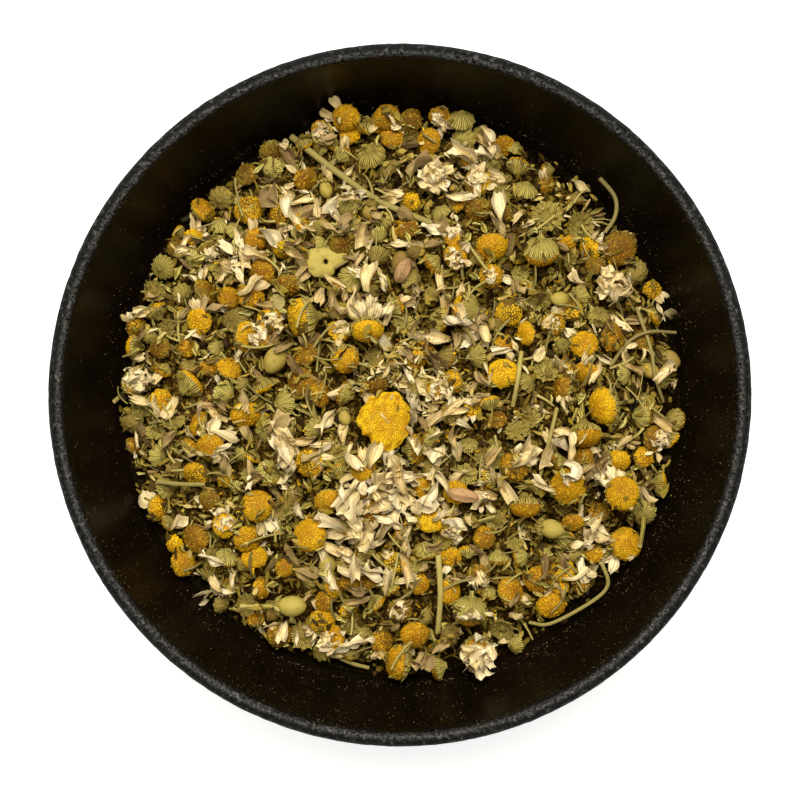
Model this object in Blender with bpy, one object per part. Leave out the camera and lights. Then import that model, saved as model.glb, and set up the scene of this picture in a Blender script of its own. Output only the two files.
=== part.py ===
"""A round stoneware bowl heaped with dried chamomile flowers.

The bowl stands on its foot at z = 0, centred on the Z axis. The heap is a core that fills
the bowl, with small heads, petals and bits of stalk grown into its top. The heads and stalks
that show singly lie on it as bodies of their own. Lengths inside the functions are in
millimetres, and every finished mesh is turned into metres.
"""

import math
import random
from collections import namedtuple

import bmesh
import bpy
from mathutils import Matrix, Vector, noise
from mathutils.bvhtree import BVHTree

MM = 0.001

# Bowl
RIM_RADIUS = 80.0
BOWL_HEIGHT = 58.0
RIM_WIDTH = 3.4
INNER_DEPTH = 52.0
WALL_CURVE = 2.3
FOOT_RADIUS = 36.0
FOOT_WIDTH = 4.5
FOOT_RECESS = 1.5
BOWL_SIDES = 44
INNER_HEIGHTS = (50.0, 41.0, 32.0, 23.0, 14.5, 9.5, 7.2)

# Heap
HEAP_EDGE_HEIGHT = 32.0
HEAP_CROWN = 11.0
HEAP_EDGE_RADIUS = 68.0
HEAP_ROUNDNESS = 2.6
HEAP_LUMP = 1.3
LUMP_SIZE = 11.0
CORE_SIDES = 36
CORE_RINGS = 9
WALL_CLEARANCE = 0.9
NEST = 0.45
CORE_RELIEF = 0.7

# Pieces of the flowers
GAP = 0.3
BLADE_THICKNESS = 0.65
HEAD_SIDES = 12
SMALL_SIDES = 7
STALK_SIDES = 5
SETTLE_STEP = 0.25

YELLOW = ("disc florets", (0.62, 0.36, 0.03))
GREEN = ("bracts", (0.36, 0.33, 0.12))
CREAM = ("petals", (0.72, 0.66, 0.45))
STRAW = ("stalks", (0.33, 0.29, 0.10))
HERB = ("packed flowers", (0.38, 0.32, 0.14))
STONEWARE = ("dark stoneware", (0.035, 0.033, 0.032))

Head = namedtuple("Head", "name x y width form facing tilt petals stem")
# facing is the direction in plan that a head leans to, in degrees from +X, and tilt is how far
# it leans from upright. petals is (count, middle direction, spread) in the head's own plane.
# stem is the length of stalk left on it.

LOOSE_HEADS = [
    Head("conical_head", 39.5, -22.0, 8.5, "cone", 90, 32, None, 0),
    Head("round_head_a", 52.0, -23.0, 8.0, "dome", 100, 8, (2, 20, 40), 0),
    Head("round_head_b", 53.5, -35.5, 8.0, "dome", 20, 24, (3, 180, 110), 0),
    Head("round_head_c", 52.0, 35.0, 8.5, "dome", 300, 14, None, 0),
    Head("round_head_d", -33.5, -26.0, 7.5, "dome", 100, 12, (2, 200, 60), 0),
    Head("round_head_e", -44.5, -12.0, 6.5, "dome", 260, 20, (3, 180, 130), 0),
    Head("round_head_f", -21.0, -33.0, 8.0, "dome", 150, 22, (3, 180, 90), 0),
    Head("nodding_head_a", -13.0, 9.5, 6.5, "cone", 285, 62, None, 3.0),
    Head("nodding_head_b", -7.5, 15.5, 7.5, "dome", 270, 58, (4, 180, 110), 0),
    Head("nodding_head_c", 43.5, -9.0, 8.0, "dome", 275, 72, None, 6.5),
    Head("side_head_a", 48.5, -2.5, 9.0, "dome", 190, 62, None, 6.5),
    Head("side_head_b", -22.5, 18.0, 9.5, "dome", 190, 78, None, 3.5),
    Head("side_head_c", 0.0, -63.5, 8.5, "dome", 175, 72, None, 0),
    Head("turned_head_a", 33.0, 34.0, 8.5, "dome", 270, 128, None, 1.5),
    Head("turned_head_b", 16.5, -50.5, 8.5, "dome", 265, 122, (2, 180, 50), 1.5),
    Head("turned_head_c", 15.5, 20.0, 8.0, "dome", 170, 118, None, 2.0),
    Head("large_disc", -3.5, -6.0, 13.0, "flake", 60, 6, None, 0),
    Head("petalled_head_a", 8.0, 51.0, 7.5, "petalled", 100, 15, (5, 0, 360), 0),
    Head("petalled_head_b", 50.5, 25.5, 8.0, "petalled", 90, 20, (5, 90, 200), 0),
    Head("petal_cluster", 18.0, -60.0, 8.0, "petalled", 300, 40, (5, 0, 360), 0),
    Head("bare_receptacle_a", -26.0, -50.0, 6.0, "egg", 0, 84, None, 7.5),
    Head("bare_receptacle_b", 35.5, -31.5, 5.5, "egg", 350, 80, None, 0),
    Head("bare_receptacle_c", -29.0, 8.5, 6.0, "egg", 240, 70, None, 0),
    Head("bract_rosette_a", 35.0, 42.5, 8.0, "rosette", 80, 18, None, 0),
    Head("bract_rosette_b", 43.0, 40.5, 7.5, "rosette", 330, 24, None, 0),
    Head("stalked_button", 58.0, -28.5, 6.5, "button", 80, 158, None, 8.0),
    Head("green_button", -57.0, 30.5, 6.5, "button", 30, 165, None, 0),
    Head("edge_flower", -63.5, 2.5, 6.5, "petalled", 40, 50, (4, 0, 360), 4.5),
    Head("small_bud", -28.5, 22.0, 4.0, "button", 200, 20, None, 0),
]

# Heads that are part of the packed heap: x, y, width, form, facing, tilt.
PACKED_HEADS = [
    (21.5, 35.0, 7.5, "dome", 270, 35), (21.5, 28.0, 6.0, "dome", 200, 20),
    (25.5, 19.5, 6.5, "dome", 300, 30), (24.0, 5.0, 7.0, "dome", 120, 25),
    (30.0, 14.5, 5.5, "dome", 180, 55), (43.5, 12.0, 6.5, "dome", 140, 20),
    (44.0, 5.5, 6.0, "dome", 250, 40), (36.0, 16.5, 6.0, "petalled", 60, 10),
    (7.0, -29.0, 7.0, "dome", 90, 30), (6.0, -36.0, 6.0, "button", 270, 120),
    (-1.0, -40.0, 5.5, "dome", 120, 20), (11.5, -46.5, 6.0, "dome", 20, 30),
    (3.5, -57.0, 7.0, "dome", 270, 20), (0.0, -51.0, 5.5, "dome", 80, 15),
    (-4.5, -58.5, 6.0, "dome", 0, 40), (26.0, -46.5, 7.0, "dome", 30, 35),
    (36.0, -50.0, 7.0, "dome", 280, 30), (52.0, -15.5, 5.5, "dome", 260, 25),
    (41.0, -30.0, 5.0, "dome", 270, 40), (47.5, -28.0, 5.0, "dome", 90, 40),
    (29.5, -26.0, 7.5, "dome", 270, 80), (-36.0, 44.0, 7.0, "dome", 100, 30),
    (-34.5, 37.0, 5.5, "dome", 300, 15), (-32.5, 29.0, 6.5, "dome", 200, 30),
    (-40.5, 23.0, 5.5, "dome", 45, 20), (-47.5, 17.5, 6.5, "dome", 200, 25),
    (-40.5, 6.0, 6.0, "dome", 60, 60), (-27.5, -2.0, 7.0, "button", 0, 130),
    (-36.5, -4.5, 7.0, "dome", 290, 40), (-50.5, 2.0, 8.0, "button", 45, 110),
    (-36.5, 14.0, 7.0, "dome", 0, 60), (13.0, 32.5, 6.0, "petalled", 0, 20),
    (18.5, 44.0, 6.5, "dome", 270, 40), (18.5, 50.5, 6.5, "petalled", 120, 20),
    (-7.0, 57.5, 7.5, "button", 300, 150), (-12.0, 62.5, 5.5, "dome", 90, 25),
    (-2.0, 61.5, 5.5, "dome", 90, 20), (7.0, 60.5, 6.5, "dome", 180, 35),
    (15.0, 61.0, 6.5, "button", 40, 140), (-43.0, 47.0, 6.5, "button", 60, 160),
    (-36.5, 52.5, 6.0, "dome", 120, 40), (-27.5, 57.0, 6.0, "rosette", 100, 20),
    (-22.5, 51.5, 5.5, "dome", 300, 30), (-48.5, -34.0, 7.0, "dome", 200, 30),
    (-57.0, 11.5, 5.5, "dome", 200, 30), (-57.5, -14.5, 5.5, "button", 180, 140),
    (-41.5, -31.0, 6.0, "dome", 70, 30), (-41.0, -38.0, 6.0, "button", 250, 120),
    (-34.5, -38.5, 6.0, "dome", 90, 30), (-27.5, -41.0, 4.5, "dome", 20, 20),
    (-45.0, -25.0, 5.5, "dome", 230, 25), (-55.5, -22.0, 6.0, "button", 200, 130),
    (-13.0, -5.0, 4.5, "egg", 290, 70), (-21.0, -15.5, 8.0, "dome", 210, 20),
    (-48.0, -18.5, 7.0, "dome", 240, 50), (-15.5, -57.5, 6.0, "petalled", 200, 40),
    (24.5, -56.0, 6.5, "rosette", 250, 40), (29.0, -38.0, 5.0, "button", 200, 120),
    (57.0, -5.0, 6.0, "button", 0, 120), (60.5, -10.5, 6.5, "petalled", 0, 40),
    (58.0, 13.0, 5.5, "dome", 30, 35), (59.5, 6.0, 5.0, "egg", 330, 60),
    (38.0, -15.5, 5.0, "button", 200, 100), (27.5, -8.5, 6.0, "rosette", 100, 30),
    (16.5, -3.0, 5.0, "dome", 40, 30), (16.0, -11.5, 5.0, "button", 270, 140),
    (15.5, -18.5, 5.5, "rosette", 90, 20), (-17.0, -24.5, 6.5, "dome", 280, 45),
    (-8.5, -17.0, 6.5, "dome", 120, 25), (8.5, 1.0, 5.5, "petalled", 20, 20),
    (0.0, 31.0, 6.0, "egg", 80, 80), (9.5, 43.5, 5.0, "button", 300, 130),
    (-17.5, 49.0, 5.0, "egg", 280, 75), (-12.0, -44.5, 5.0, "dome", 80, 40),
    (-18.0, -49.0, 5.0, "dome", 180, 30), (4.5, -44.5, 5.0, "dome", 350, 35),
    (12.0, -38.0, 5.0, "dome", 270, 20), (12.0, -31.0, 5.5, "petalled", 290, 30),
    (24.0, 48.5, 6.0, "rosette", 20, 35), (28.0, 54.0, 6.0, "button", 80, 120),
    (40.5, 31.5, 5.5, "rosette", 0, 60), (47.0, 19.0, 6.0, "button", 270, 150),
    (38.0, 22.5, 5.5, "egg", 180, 60), (34.5, 6.0, 6.0, "rosette", 90, 15),
    (-17.5, 31.5, 7.5, "flake", 0, 8), (-51.5, 24.0, 6.0, "button", 160, 140),
]

# Loose stalks: name, radius, and the points in plan that each passes through.
STALKS = [
    ("thick_stalk", 0.85, [(-26.0, 62.0), (-17.0, 54.5), (-5.0, 46.0), (7.5, 40.5)]),
    ("upright_stalk", 0.75, [(9.0, -37.5), (9.5, -47.0), (9.0, -56.5)]),
    ("pale_stalk", 0.6, [(28.5, 10.0), (27.5, 4.0), (26.5, -2.5)]),
    ("hooked_stalk", 0.55, [(47.5, 51.5), (51.0, 47.0), (51.0, 42.5), (48.5, 38.5)]),
    ("long_thin_stalk", 0.45, [(56.5, 21.0), (59.5, 11.0), (60.5, 4.5), (63.0, -1.5)]),
    ("arched_stalk", 0.45, [(50.0, 7.0), (54.0, 12.5), (59.0, 15.0), (66.0, 15.0)]),
    ("left_stalk", 0.6, [(-57.5, -20.5), (-52.0, -21.0), (-46.0, -21.0)]),
    ("looped_stalk", 0.5, [(48.0, -40.0), (49.5, -45.0), (46.0, -49.0), (36.0, -54.5), (31.0, -54.5)]),
    ("fallen_stalk", 0.55, [(-14.5, -63.0), (-11.0, -64.5), (-7.5, -65.5)]),
    ("slanting_stalk", 0.5, [(37.0, -3.0), (35.0, -11.0), (33.0, -19.5)]),
]

LOOSE_PETALS = 48
LOOSE_BITS = 8
RANDOM_SEED = 7


def clear_scene():
    for obj in list(bpy.data.objects):
        bpy.data.objects.remove(obj, do_unlink=True)


def material(kind, roughness=0.8):
    """A Principled material, made once for each kind."""
    name, colour = kind
    found = bpy.data.materials.get(name)
    if found:
        return found
    made = bpy.data.materials.new(name)
    made.use_nodes = True
    shader = made.node_tree.nodes["Principled BSDF"]
    shader.inputs["Base Color"].default_value = (*colour, 1.0)
    shader.inputs["Roughness"].default_value = roughness
    return made


def add_node(name, bm, kind):
    """Turn a body in millimetres into a named object in metres."""
    shape = bm.copy()
    shape.transform(Matrix.Scale(MM, 4))
    bmesh.ops.triangulate(shape, faces=shape.faces)
    mesh = bpy.data.meshes.new(name)
    shape.to_mesh(mesh)
    shape.free()
    mesh.materials.append(material(kind))
    obj = bpy.data.objects.new(name, mesh)
    bpy.context.scene.collection.objects.link(obj)
    return obj


def turned(profile, sides):
    """A closed body turned about Z from (radius, height) points, both ends on the axis."""
    bm = bmesh.new()
    verts = [bm.verts.new((radius, 0.0, height)) for radius, height in profile]
    edges = [bm.edges.new(pair) for pair in zip(verts, verts[1:])]
    bmesh.ops.spin(bm, geom=verts + edges, cent=(0, 0, 0), axis=(0, 0, 1), angle=math.tau,
                   steps=sides, use_merge=True)
    bmesh.ops.remove_doubles(bm, verts=bm.verts, dist=1e-4)
    bmesh.ops.recalc_face_normals(bm, faces=bm.faces)
    return bm


def inner_radius(height):
    """The bowl's inside radius at a height."""
    depth = (BOWL_HEIGHT - height) / INNER_DEPTH
    return (RIM_RADIUS - RIM_WIDTH) * math.sqrt(max(0.0, 1.0 - max(0.0, depth) ** WALL_CURVE))


def outer_radius(height):
    """The bowl's outside radius at a height."""
    depth = (BOWL_HEIGHT - RIM_WIDTH / 2 - height) / BOWL_HEIGHT
    return RIM_RADIUS * math.sqrt(max(0.0, 1.0 - max(0.0, depth) ** WALL_CURVE))


def bowl_body():
    """Foot ring, swelling outside, rounded rim and smooth inside."""
    rim = RIM_WIDTH / 2
    rim_height = BOWL_HEIGHT - rim
    foot_inner = FOOT_RADIUS - FOOT_WIDTH
    profile = [(0.0, FOOT_RECESS), (foot_inner - 1.0, FOOT_RECESS), (foot_inner, 0.0), (FOOT_RADIUS, 0.0)]
    profile.append((FOOT_RADIUS, 4.0))
    profile += [(outer_radius(height), height) for height in (8.5, 16.0, 27.0, 40.0, 51.0)]
    for step in range(5):
        angle = math.pi * step / 4
        profile.append((RIM_RADIUS - rim + rim * math.cos(angle), rim_height + rim * math.sin(angle)))
    profile += [(inner_radius(height), height) for height in INNER_HEIGHTS]
    profile.append((0.0, BOWL_HEIGHT - INNER_DEPTH))
    return turned(profile, BOWL_SIDES)


def heap_height(x, y):
    """The height of the heap's core at a place in plan, before the heads press nests into it."""
    radius = math.hypot(x, y) / HEAP_EDGE_RADIUS
    crown = HEAP_CROWN * (1.0 - min(1.15, radius) ** HEAP_ROUNDNESS)
    lumps = noise.noise(Vector((x / LUMP_SIZE, y / LUMP_SIZE, 0.5)))
    return HEAP_EDGE_HEIGHT + crown + HEAP_LUMP * lumps


def nest_depth(x, y):
    """How far the loose heads press the core down at a place."""
    deepest = 0.0
    for head in LOOSE_HEADS:
        reach = head.width * 0.5 + 2.5
        distance = math.hypot(x - head.x, y - head.y)
        if distance < reach:
            fall = 0.5 + 0.5 * math.cos(math.pi * distance / reach)
            deepest = max(deepest, NEST * head.width * fall)
    return deepest


def core_body():
    """The smaller body inside the heap: it follows the bowl below and the heap's form above."""
    edge_height = HEAP_EDGE_HEIGHT
    bottom = [(inner_radius(height) - 0.4, height + WALL_CLEARANCE)
              for height in reversed(INNER_HEIGHTS) if height < edge_height]
    edge_radius = inner_radius(edge_height) - WALL_CLEARANCE
    profile = [(0.0, BOWL_HEIGHT - INNER_DEPTH + 1.2)] + bottom + [(edge_radius, edge_height)]
    profile += [(edge_radius * ring / CORE_RINGS, 50.0) for ring in range(CORE_RINGS - 1, -1, -1)]
    bm = turned(profile, CORE_SIDES)
    for vert in bm.verts:
        x, y, z = vert.co
        if z > edge_height + 1.0:
            ring = round(math.hypot(x, y) / edge_radius * CORE_RINGS)
            spoke = round(math.atan2(y, x) / math.tau * CORE_SIDES)
            relief = CORE_RELIEF * (1 if (ring + spoke) % 2 else -1)
            vert.co.z = heap_height(x, y) - nest_depth(x, y) + relief
    return bm


def granulate(bm, sides, amount, above=-1e9):
    """Raise every other point above a height, like florets standing side by side."""
    bm.normal_update()
    heights = sorted({round(vert.co.z, 2) for vert in bm.verts})
    for vert in bm.verts:
        if vert.co.z < above:
            continue
        ring = heights.index(round(vert.co.z, 2))
        spoke = round(math.atan2(vert.co.y, vert.co.x) / math.tau * sides)
        if (ring + spoke) % 2 == 0 and math.hypot(vert.co.x, vert.co.y) > 0.1:
            vert.co += vert.normal * amount
    return bm


def rib(bm, sides, amount, below=1e9):
    """Pull in every other spoke of a turned body, which leaves ribs between."""
    for vert in bm.verts:
        spoke = round(math.atan2(vert.co.y, vert.co.x) / math.tau * sides)
        if spoke % 2 and vert.co.z < below:
            vert.co.x *= 1.0 - amount
            vert.co.y *= 1.0 - amount
    return bm


def disc_body(width, rise, sides, floor=GAP / 2):
    """The yellow disc: a dome of florets with a flat underside."""
    radius = width / 2
    profile = [(0.0, floor)]
    for degrees in (0, 30, 60):
        angle = math.radians(degrees)
        profile.append((radius * math.cos(angle) ** 0.8, floor + rise * math.sin(angle)))
    profile.append((0.0, floor + rise))
    return granulate(turned(profile, sides), sides, 0.05 * radius + 0.05, above=floor + 0.2)


def cup_body(width, sides, top=-GAP / 2):
    """The green cup of bracts under a disc, ribbed, with the stub of the stalk."""
    radius = width / 2
    depth = 0.42 * width
    stub = 0.11 * width
    profile = [(0.0, top - depth), (stub, top - depth), (stub * 1.3, top - depth * 0.72)]
    profile += [(radius * 0.62, top - depth * 0.52), (radius * 0.98, top - depth * 0.16)]
    profile += [(radius * 0.94, top), (0.0, top)]
    return rib(turned(profile, sides), sides, 0.10, below=top - 0.1)


def egg_body(width, sides):
    """A bare receptacle: a smooth egg in a ribbed collar."""
    radius = width / 2
    profile = [(0.0, -1.25), (0.22, -1.2), (0.62, -1.02), (0.78, -0.82), (0.66, -0.7), (0.92, -0.35)]
    profile += [(1.0, 0.05), (0.84, 0.55), (0.46, 0.92), (0.0, 1.05)]
    bm = turned([(across * radius, along * radius * 1.15) for across, along in profile], sides)
    return rib(bm, sides, 0.12, below=-0.7 * radius)


def rosette_body(width, sides):
    """An empty ring of bracts, spread like a ribbed dish."""
    radius = width / 2
    profile = [(0.0, -0.55), (0.34, -0.5), (1.0, -0.08), (0.98, 0.22), (0.40, -0.08), (0.22, -0.02)]
    profile += [(0.0, -0.05)]
    bm = turned([(across * radius, along * radius) for across, along in profile], sides * 2)
    return rib(bm, sides * 2, 0.14)


def flake_body(width, sides):
    """A large flattened disc of florets with an uneven edge."""
    radius = width / 2
    profile = [(0.0, -0.16), (0.8, -0.14), (1.0, 0.02), (0.9, 0.17), (0.62, 0.25), (0.3, 0.3), (0.0, 0.32)]
    bm = turned([(across * radius, along * radius) for across, along in profile], sides + 4)
    granulate(bm, sides + 4, 0.035 * radius, above=0.05 * radius)
    for vert in bm.verts:
        angle = math.atan2(vert.co.y, vert.co.x)
        stretch = 1.0 + 0.07 * math.sin(2 * angle + 0.6) + 0.05 * math.sin(5 * angle)
        vert.co.x *= stretch
        vert.co.y *= stretch
    return bm


def blade(length, width, lift):
    """A petal: a thin arched blade along +X from the origin, its triangles alike on both faces."""
    bm = bmesh.new()
    stations = ((0.0, 0.6), (0.6, 1.0))
    rows = []
    for along, across in stations:
        x = along * length
        z = lift * math.sin(math.pi * 0.75 * along)
        half = width * across / 2
        rows.append([bm.verts.new((x, side * half, z + level)) for level in (0.0, -BLADE_THICKNESS)
                     for side in (-1, 1)])
    tip_z = lift * math.sin(math.pi * 0.75)
    tip = [bm.verts.new((length, 0.0, tip_z + level)) for level in (0.0, -BLADE_THICKNESS)]
    for near, far in zip(rows, rows[1:]):
        for pair, flip in (((0, 1), False), ((2, 3), True)):
            a, b = near[pair[0]], near[pair[1]]
            c, d = far[pair[0]], far[pair[1]]
            for tri in ((a, b, d), (a, d, c)):
                bm.faces.new(tri[::-1] if flip else tri)
        bm.faces.new((near[0], far[0], far[2], near[2]))
        bm.faces.new((near[1], near[3], far[3], far[1]))
    last = rows[-1]
    bm.faces.new((last[0], last[1], tip[0]))
    bm.faces.new((last[3], last[2], tip[1]))
    bm.faces.new((last[0], tip[0], tip[1], last[2]))
    bm.faces.new((last[1], last[3], tip[1], tip[0]))
    first = rows[0]
    bm.faces.new((first[0], first[2], first[3], first[1]))
    bmesh.ops.recalc_face_normals(bm, faces=bm.faces)
    return bm


def smooth_points(points, count):
    """Points evenly spread along a smooth curve through a few given ones."""
    line = [Vector(point) for point in points]
    ends = [line[0] * 2 - line[1]] + line + [line[-1] * 2 - line[-2]]
    result = []
    for step in range(count):
        place = step / (count - 1) * (len(line) - 1)
        index = min(int(place), len(line) - 2)
        t = place - index
        a, b, c, d = ends[index:index + 4]
        curve = b * 2 + (c - a) * t + (a * 2 - b * 5 + c * 4 - d) * t * t
        curve += (b * 3 - a - c * 3 + d) * t * t * t
        result.append(curve * 0.5)
    return result


def tube(points, radius, sides=STALK_SIDES):
    """A closed stalk of even thickness along a line of points."""
    bm = bmesh.new()
    rings = []
    for index, point in enumerate(points):
        ahead = points[min(index + 1, len(points) - 1)] - points[max(index - 1, 0)]
        turn = ahead.to_track_quat("Z", "Y").to_matrix().to_4x4()
        made = bmesh.ops.create_circle(bm, segments=sides, radius=radius,
                                       matrix=Matrix.Translation(point) @ turn)
        rings.append(made["verts"])
    for near, far in zip(rings, rings[1:]):
        shift = min(range(sides), key=lambda s: (far[s].co - near[0].co).length)
        for side in range(sides):
            a, b = near[side], near[(side + 1) % sides]
            c, d = far[(side + 1 + shift) % sides], far[(side + shift) % sides]
            bm.faces.new((a, b, c, d))
    bm.faces.new(rings[0])
    bm.faces.new(rings[-1])
    bmesh.ops.recalc_face_normals(bm, faces=bm.faces)
    return bm


def lean(facing, tilt):
    """The turn that takes a head from upright to its lean."""
    return (Matrix.Rotation(math.radians(facing), 4, "Z")
            @ Matrix.Rotation(math.radians(tilt), 4, "Y"))


def petal_placements(head, rng):
    """Where each petal of a head starts and how it turns, in the head's own plane."""
    count, middle, spread = head.petals
    radius = head.width / 2
    for index in range(count):
        across = middle - spread / 2 + spread * (index + 0.5) / count
        across += rng.uniform(-6, 6)
        length = head.width * rng.uniform(0.55, 0.8)
        width = head.width * rng.uniform(0.26, 0.34)
        turn = Matrix.Rotation(math.radians(across), 4, "Z")
        if head.form == "petalled":
            start = Matrix.Translation((radius * 0.45, 0, radius * 0.1))
            rise = Matrix.Rotation(math.radians(-rng.uniform(15, 75)), 4, "Y")
        else:
            start = Matrix.Translation((radius * 0.62, 0, -radius * 0.38))
            rise = Matrix.Rotation(math.radians(rng.uniform(12, 48)), 4, "Y")
        yield turn @ start @ rise, length, width


def stem_body(head, turn):
    """The stalk left on a head: it leaves the cup along the axis and droops to the side."""
    depth = {"egg": 0.6, "button": 0.1}.get(head.form, 0.3) * head.width
    back = (turn @ Vector((0, 0, -1))).normalized()
    point = back * depth
    level = Vector((back.x, back.y, -0.05)).normalized()
    points = [point.copy()]
    for step in range(5):
        heading = back.lerp(level, min(1.0, step / 2.0)).normalized()
        point = point + heading * ((head.stem + 0.12 * head.width) / 5)
        points.append(point.copy())
    return tube(points, 0.5)


def head_bodies(head, sides, rng):
    """The bodies that make up one head, as (part, kind, list of bodies to fuse)."""
    turn = lean(head.facing, head.tilt)
    petals = []
    if head.petals:
        for place, length, width in petal_placements(head, rng):
            petal = blade(length, width, rng.uniform(0.4, 1.2))
            petal.transform(turn @ place)
            petals.append(petal)
    stem = [stem_body(head, turn)] if head.stem else []
    if head.form in ("dome", "cone"):
        rise = head.width * (0.36 if head.form == "dome" else 0.72)
        disc = disc_body(head.width, rise, sides)
        cup = cup_body(head.width, sides)
        disc.transform(turn)
        cup.transform(turn)
        return [("_disc", YELLOW, [disc]), ("_cup", GREEN, [cup] + petals + stem)]
    if head.form == "petalled":
        body = disc_body(head.width * 0.8, head.width * 0.3, sides, floor=-0.6)
        cup = cup_body(head.width, sides)
        body.transform(turn)
        cup.transform(turn)
        return [("", CREAM, [cup, body] + petals + stem)]
    if head.form == "button":
        body = cup_body(head.width, sides + 4, top=0.25 * head.width)
    elif head.form == "egg":
        body = egg_body(head.width, sides)
    elif head.form == "rosette":
        body = rosette_body(head.width, sides)
    else:
        body = flake_body(head.width, sides)
    body.transform(turn)
    kind = YELLOW if head.form == "flake" else GREEN
    return [("", kind, [body] + stem)]


def packed_head_body(row):
    """A head that is part of the packed heap, in one piece and a little coarser."""
    x, y, width, form, facing, tilt = row
    turn = lean(facing, tilt)
    if form == "egg":
        outline = ((0.0, -0.6), (0.38, -0.32), (0.5, 0.08), (0.3, 0.44), (0.0, 0.58))
    elif form == "button":
        outline = ((0.0, -0.34), (0.16, -0.32), (0.5, -0.06), (0.44, 0.2), (0.0, 0.24))
    elif form == "rosette":
        outline = ((0.0, -0.28), (0.5, -0.04), (0.48, 0.12), (0.14, -0.03), (0.0, -0.02))
    else:
        outline = ((0.0, -0.34), (0.5, -0.06), (0.45, 0.16), (0.26, 0.32), (0.0, 0.37))
    sides = SMALL_SIDES if width > 5.6 else SMALL_SIDES - 1
    body = turned([(across * width, along * width) for across, along in outline], sides)
    if form in ("button", "rosette"):
        rib(body, sides, 0.12)
    elif form != "egg":
        granulate(body, sides, 0.05 * width, above=0.1)
    body.transform(Matrix.Translation((x, y, heap_height(x, y) + 0.12 * width)) @ turn)
    return body


def keep_inside(bm):
    """Draw in whatever would reach into the bowl's wall."""
    for vert in bm.verts:
        radius = math.hypot(vert.co.x, vert.co.y)
        limit = inner_radius(vert.co.z) - WALL_CLEARANCE
        if radius > limit:
            vert.co.x *= limit / radius
            vert.co.y *= limit / radius
    return bm


def clear_of_heads(x, y, margin):
    """True where no loose head lies within a margin of the place."""
    return all(math.hypot(x - head.x, y - head.y) > head.width * 0.5 + margin for head in LOOSE_HEADS)


def clear_of_packed_heads(x, y):
    """True where the place is not on top of a packed head."""
    return all(math.hypot(x - row[0], y - row[1]) > row[2] * 0.5 for row in PACKED_HEADS)


def scattered_places(rng, count, margin):
    """Seeded places spread evenly over the heap, outside the loose heads."""
    places = []
    spacing = 6.2
    tries = 0
    while len(places) < count and tries < 6000:
        tries += 1
        radius = 62.5 * math.sqrt(rng.random())
        angle = rng.uniform(0, math.tau)
        x, y = radius * math.cos(angle), radius * math.sin(angle)
        if not clear_of_heads(x, y, margin) or not clear_of_packed_heads(x, y):
            continue
        if all(math.hypot(x - other[0], y - other[1]) > spacing for other in places):
            places.append((x, y))
    return places


def loose_petal_body(rng, x, y):
    """A petal whose root is sunk in the heap and whose tip stands out of it."""
    petal = blade(rng.uniform(5.0, 7.0), rng.uniform(1.9, 2.7), rng.uniform(0.5, 1.4))
    turn = Matrix.Rotation(rng.uniform(0, math.tau), 4, "Z")
    turn = turn @ Matrix.Rotation(math.radians(-rng.uniform(14, 34)), 4, "Y")
    turn = turn @ Matrix.Rotation(math.radians(rng.uniform(-35, 35)), 4, "X")
    petal.transform(Matrix.Translation((x, y, heap_height(x, y) - 0.6)) @ turn)
    return petal


def loose_bit_body(rng, x, y):
    """A short bit of stalk half sunk in the heap."""
    half = rng.uniform(2.0, 4.5)
    angle = rng.uniform(0, math.tau)
    rise = rng.uniform(0.05, 0.4)
    reach = Vector((math.cos(angle) * half, math.sin(angle) * half, rise * half))
    middle = Vector((x, y, heap_height(x, y) + 0.35))
    return tube([middle - reach, middle + reach], rng.uniform(0.4, 0.6), sides=4)


def is_closed(bm):
    return all(len(edge.link_faces) == 2 for edge in bm.edges)


def fuse(bodies, flatness=3.0):
    """One closed body from several that cross, with nearly flat neighbours merged where that holds."""
    if len(bodies) == 1:
        return bodies[0]
    joined = union(bodies, "EXACT")
    if not is_closed(joined):
        joined = union(bodies, "MANIFOLD")
    thinned = joined.copy()
    bmesh.ops.dissolve_degenerate(thinned, edges=thinned.edges, dist=1e-3)
    bmesh.ops.dissolve_limit(thinned, angle_limit=math.radians(flatness), verts=thinned.verts,
                             edges=thinned.edges)
    bmesh.ops.triangulate(thinned, faces=thinned.faces)
    return thinned if is_closed(thinned) else joined


def union(bodies, solver):
    """The Boolean union of some bodies, without loose scraps or sealed hollows."""
    objects = []
    for bm in bodies:
        bmesh.ops.triangulate(bm, faces=bm.faces)
        mesh = bpy.data.meshes.new("fusing")
        bm.to_mesh(mesh)
        objects.append(bpy.data.objects.new("fusing", mesh))
    repeats = bpy.data.collections.new("repeats")
    bpy.context.scene.collection.children.link(repeats)
    bpy.context.scene.collection.objects.link(objects[0])
    for obj in objects[1:]:
        repeats.objects.link(obj)
    joining = objects[0].modifiers.new("union", "BOOLEAN")
    joining.operation = "UNION"
    joining.operand_type = "COLLECTION"
    joining.collection = repeats
    joining.solver = solver
    graph = bpy.context.evaluated_depsgraph_get()
    fused = bmesh.new()
    fused.from_mesh(objects[0].evaluated_get(graph).to_mesh())
    for obj in objects:
        bpy.data.objects.remove(obj, do_unlink=True)
    bpy.data.collections.remove(repeats)
    keep_largest_body(fused)
    bmesh.ops.triangulate(fused, faces=fused.faces)
    return fused


def keep_largest_body(bm):
    """Remove every separate shell but the one with the most faces."""
    unseen = set(bm.faces)
    shells = []
    while unseen:
        shell = [unseen.pop()]
        for face in shell:
            for edge in face.edges:
                for other in edge.link_faces:
                    if other in unseen:
                        unseen.remove(other)
                        shell.append(other)
        shells.append(shell)
    largest = max(shells, key=len)
    scraps = [face for shell in shells if shell is not largest for face in shell]
    if scraps:
        bmesh.ops.delete(bm, geom=scraps, context="FACES")


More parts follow.
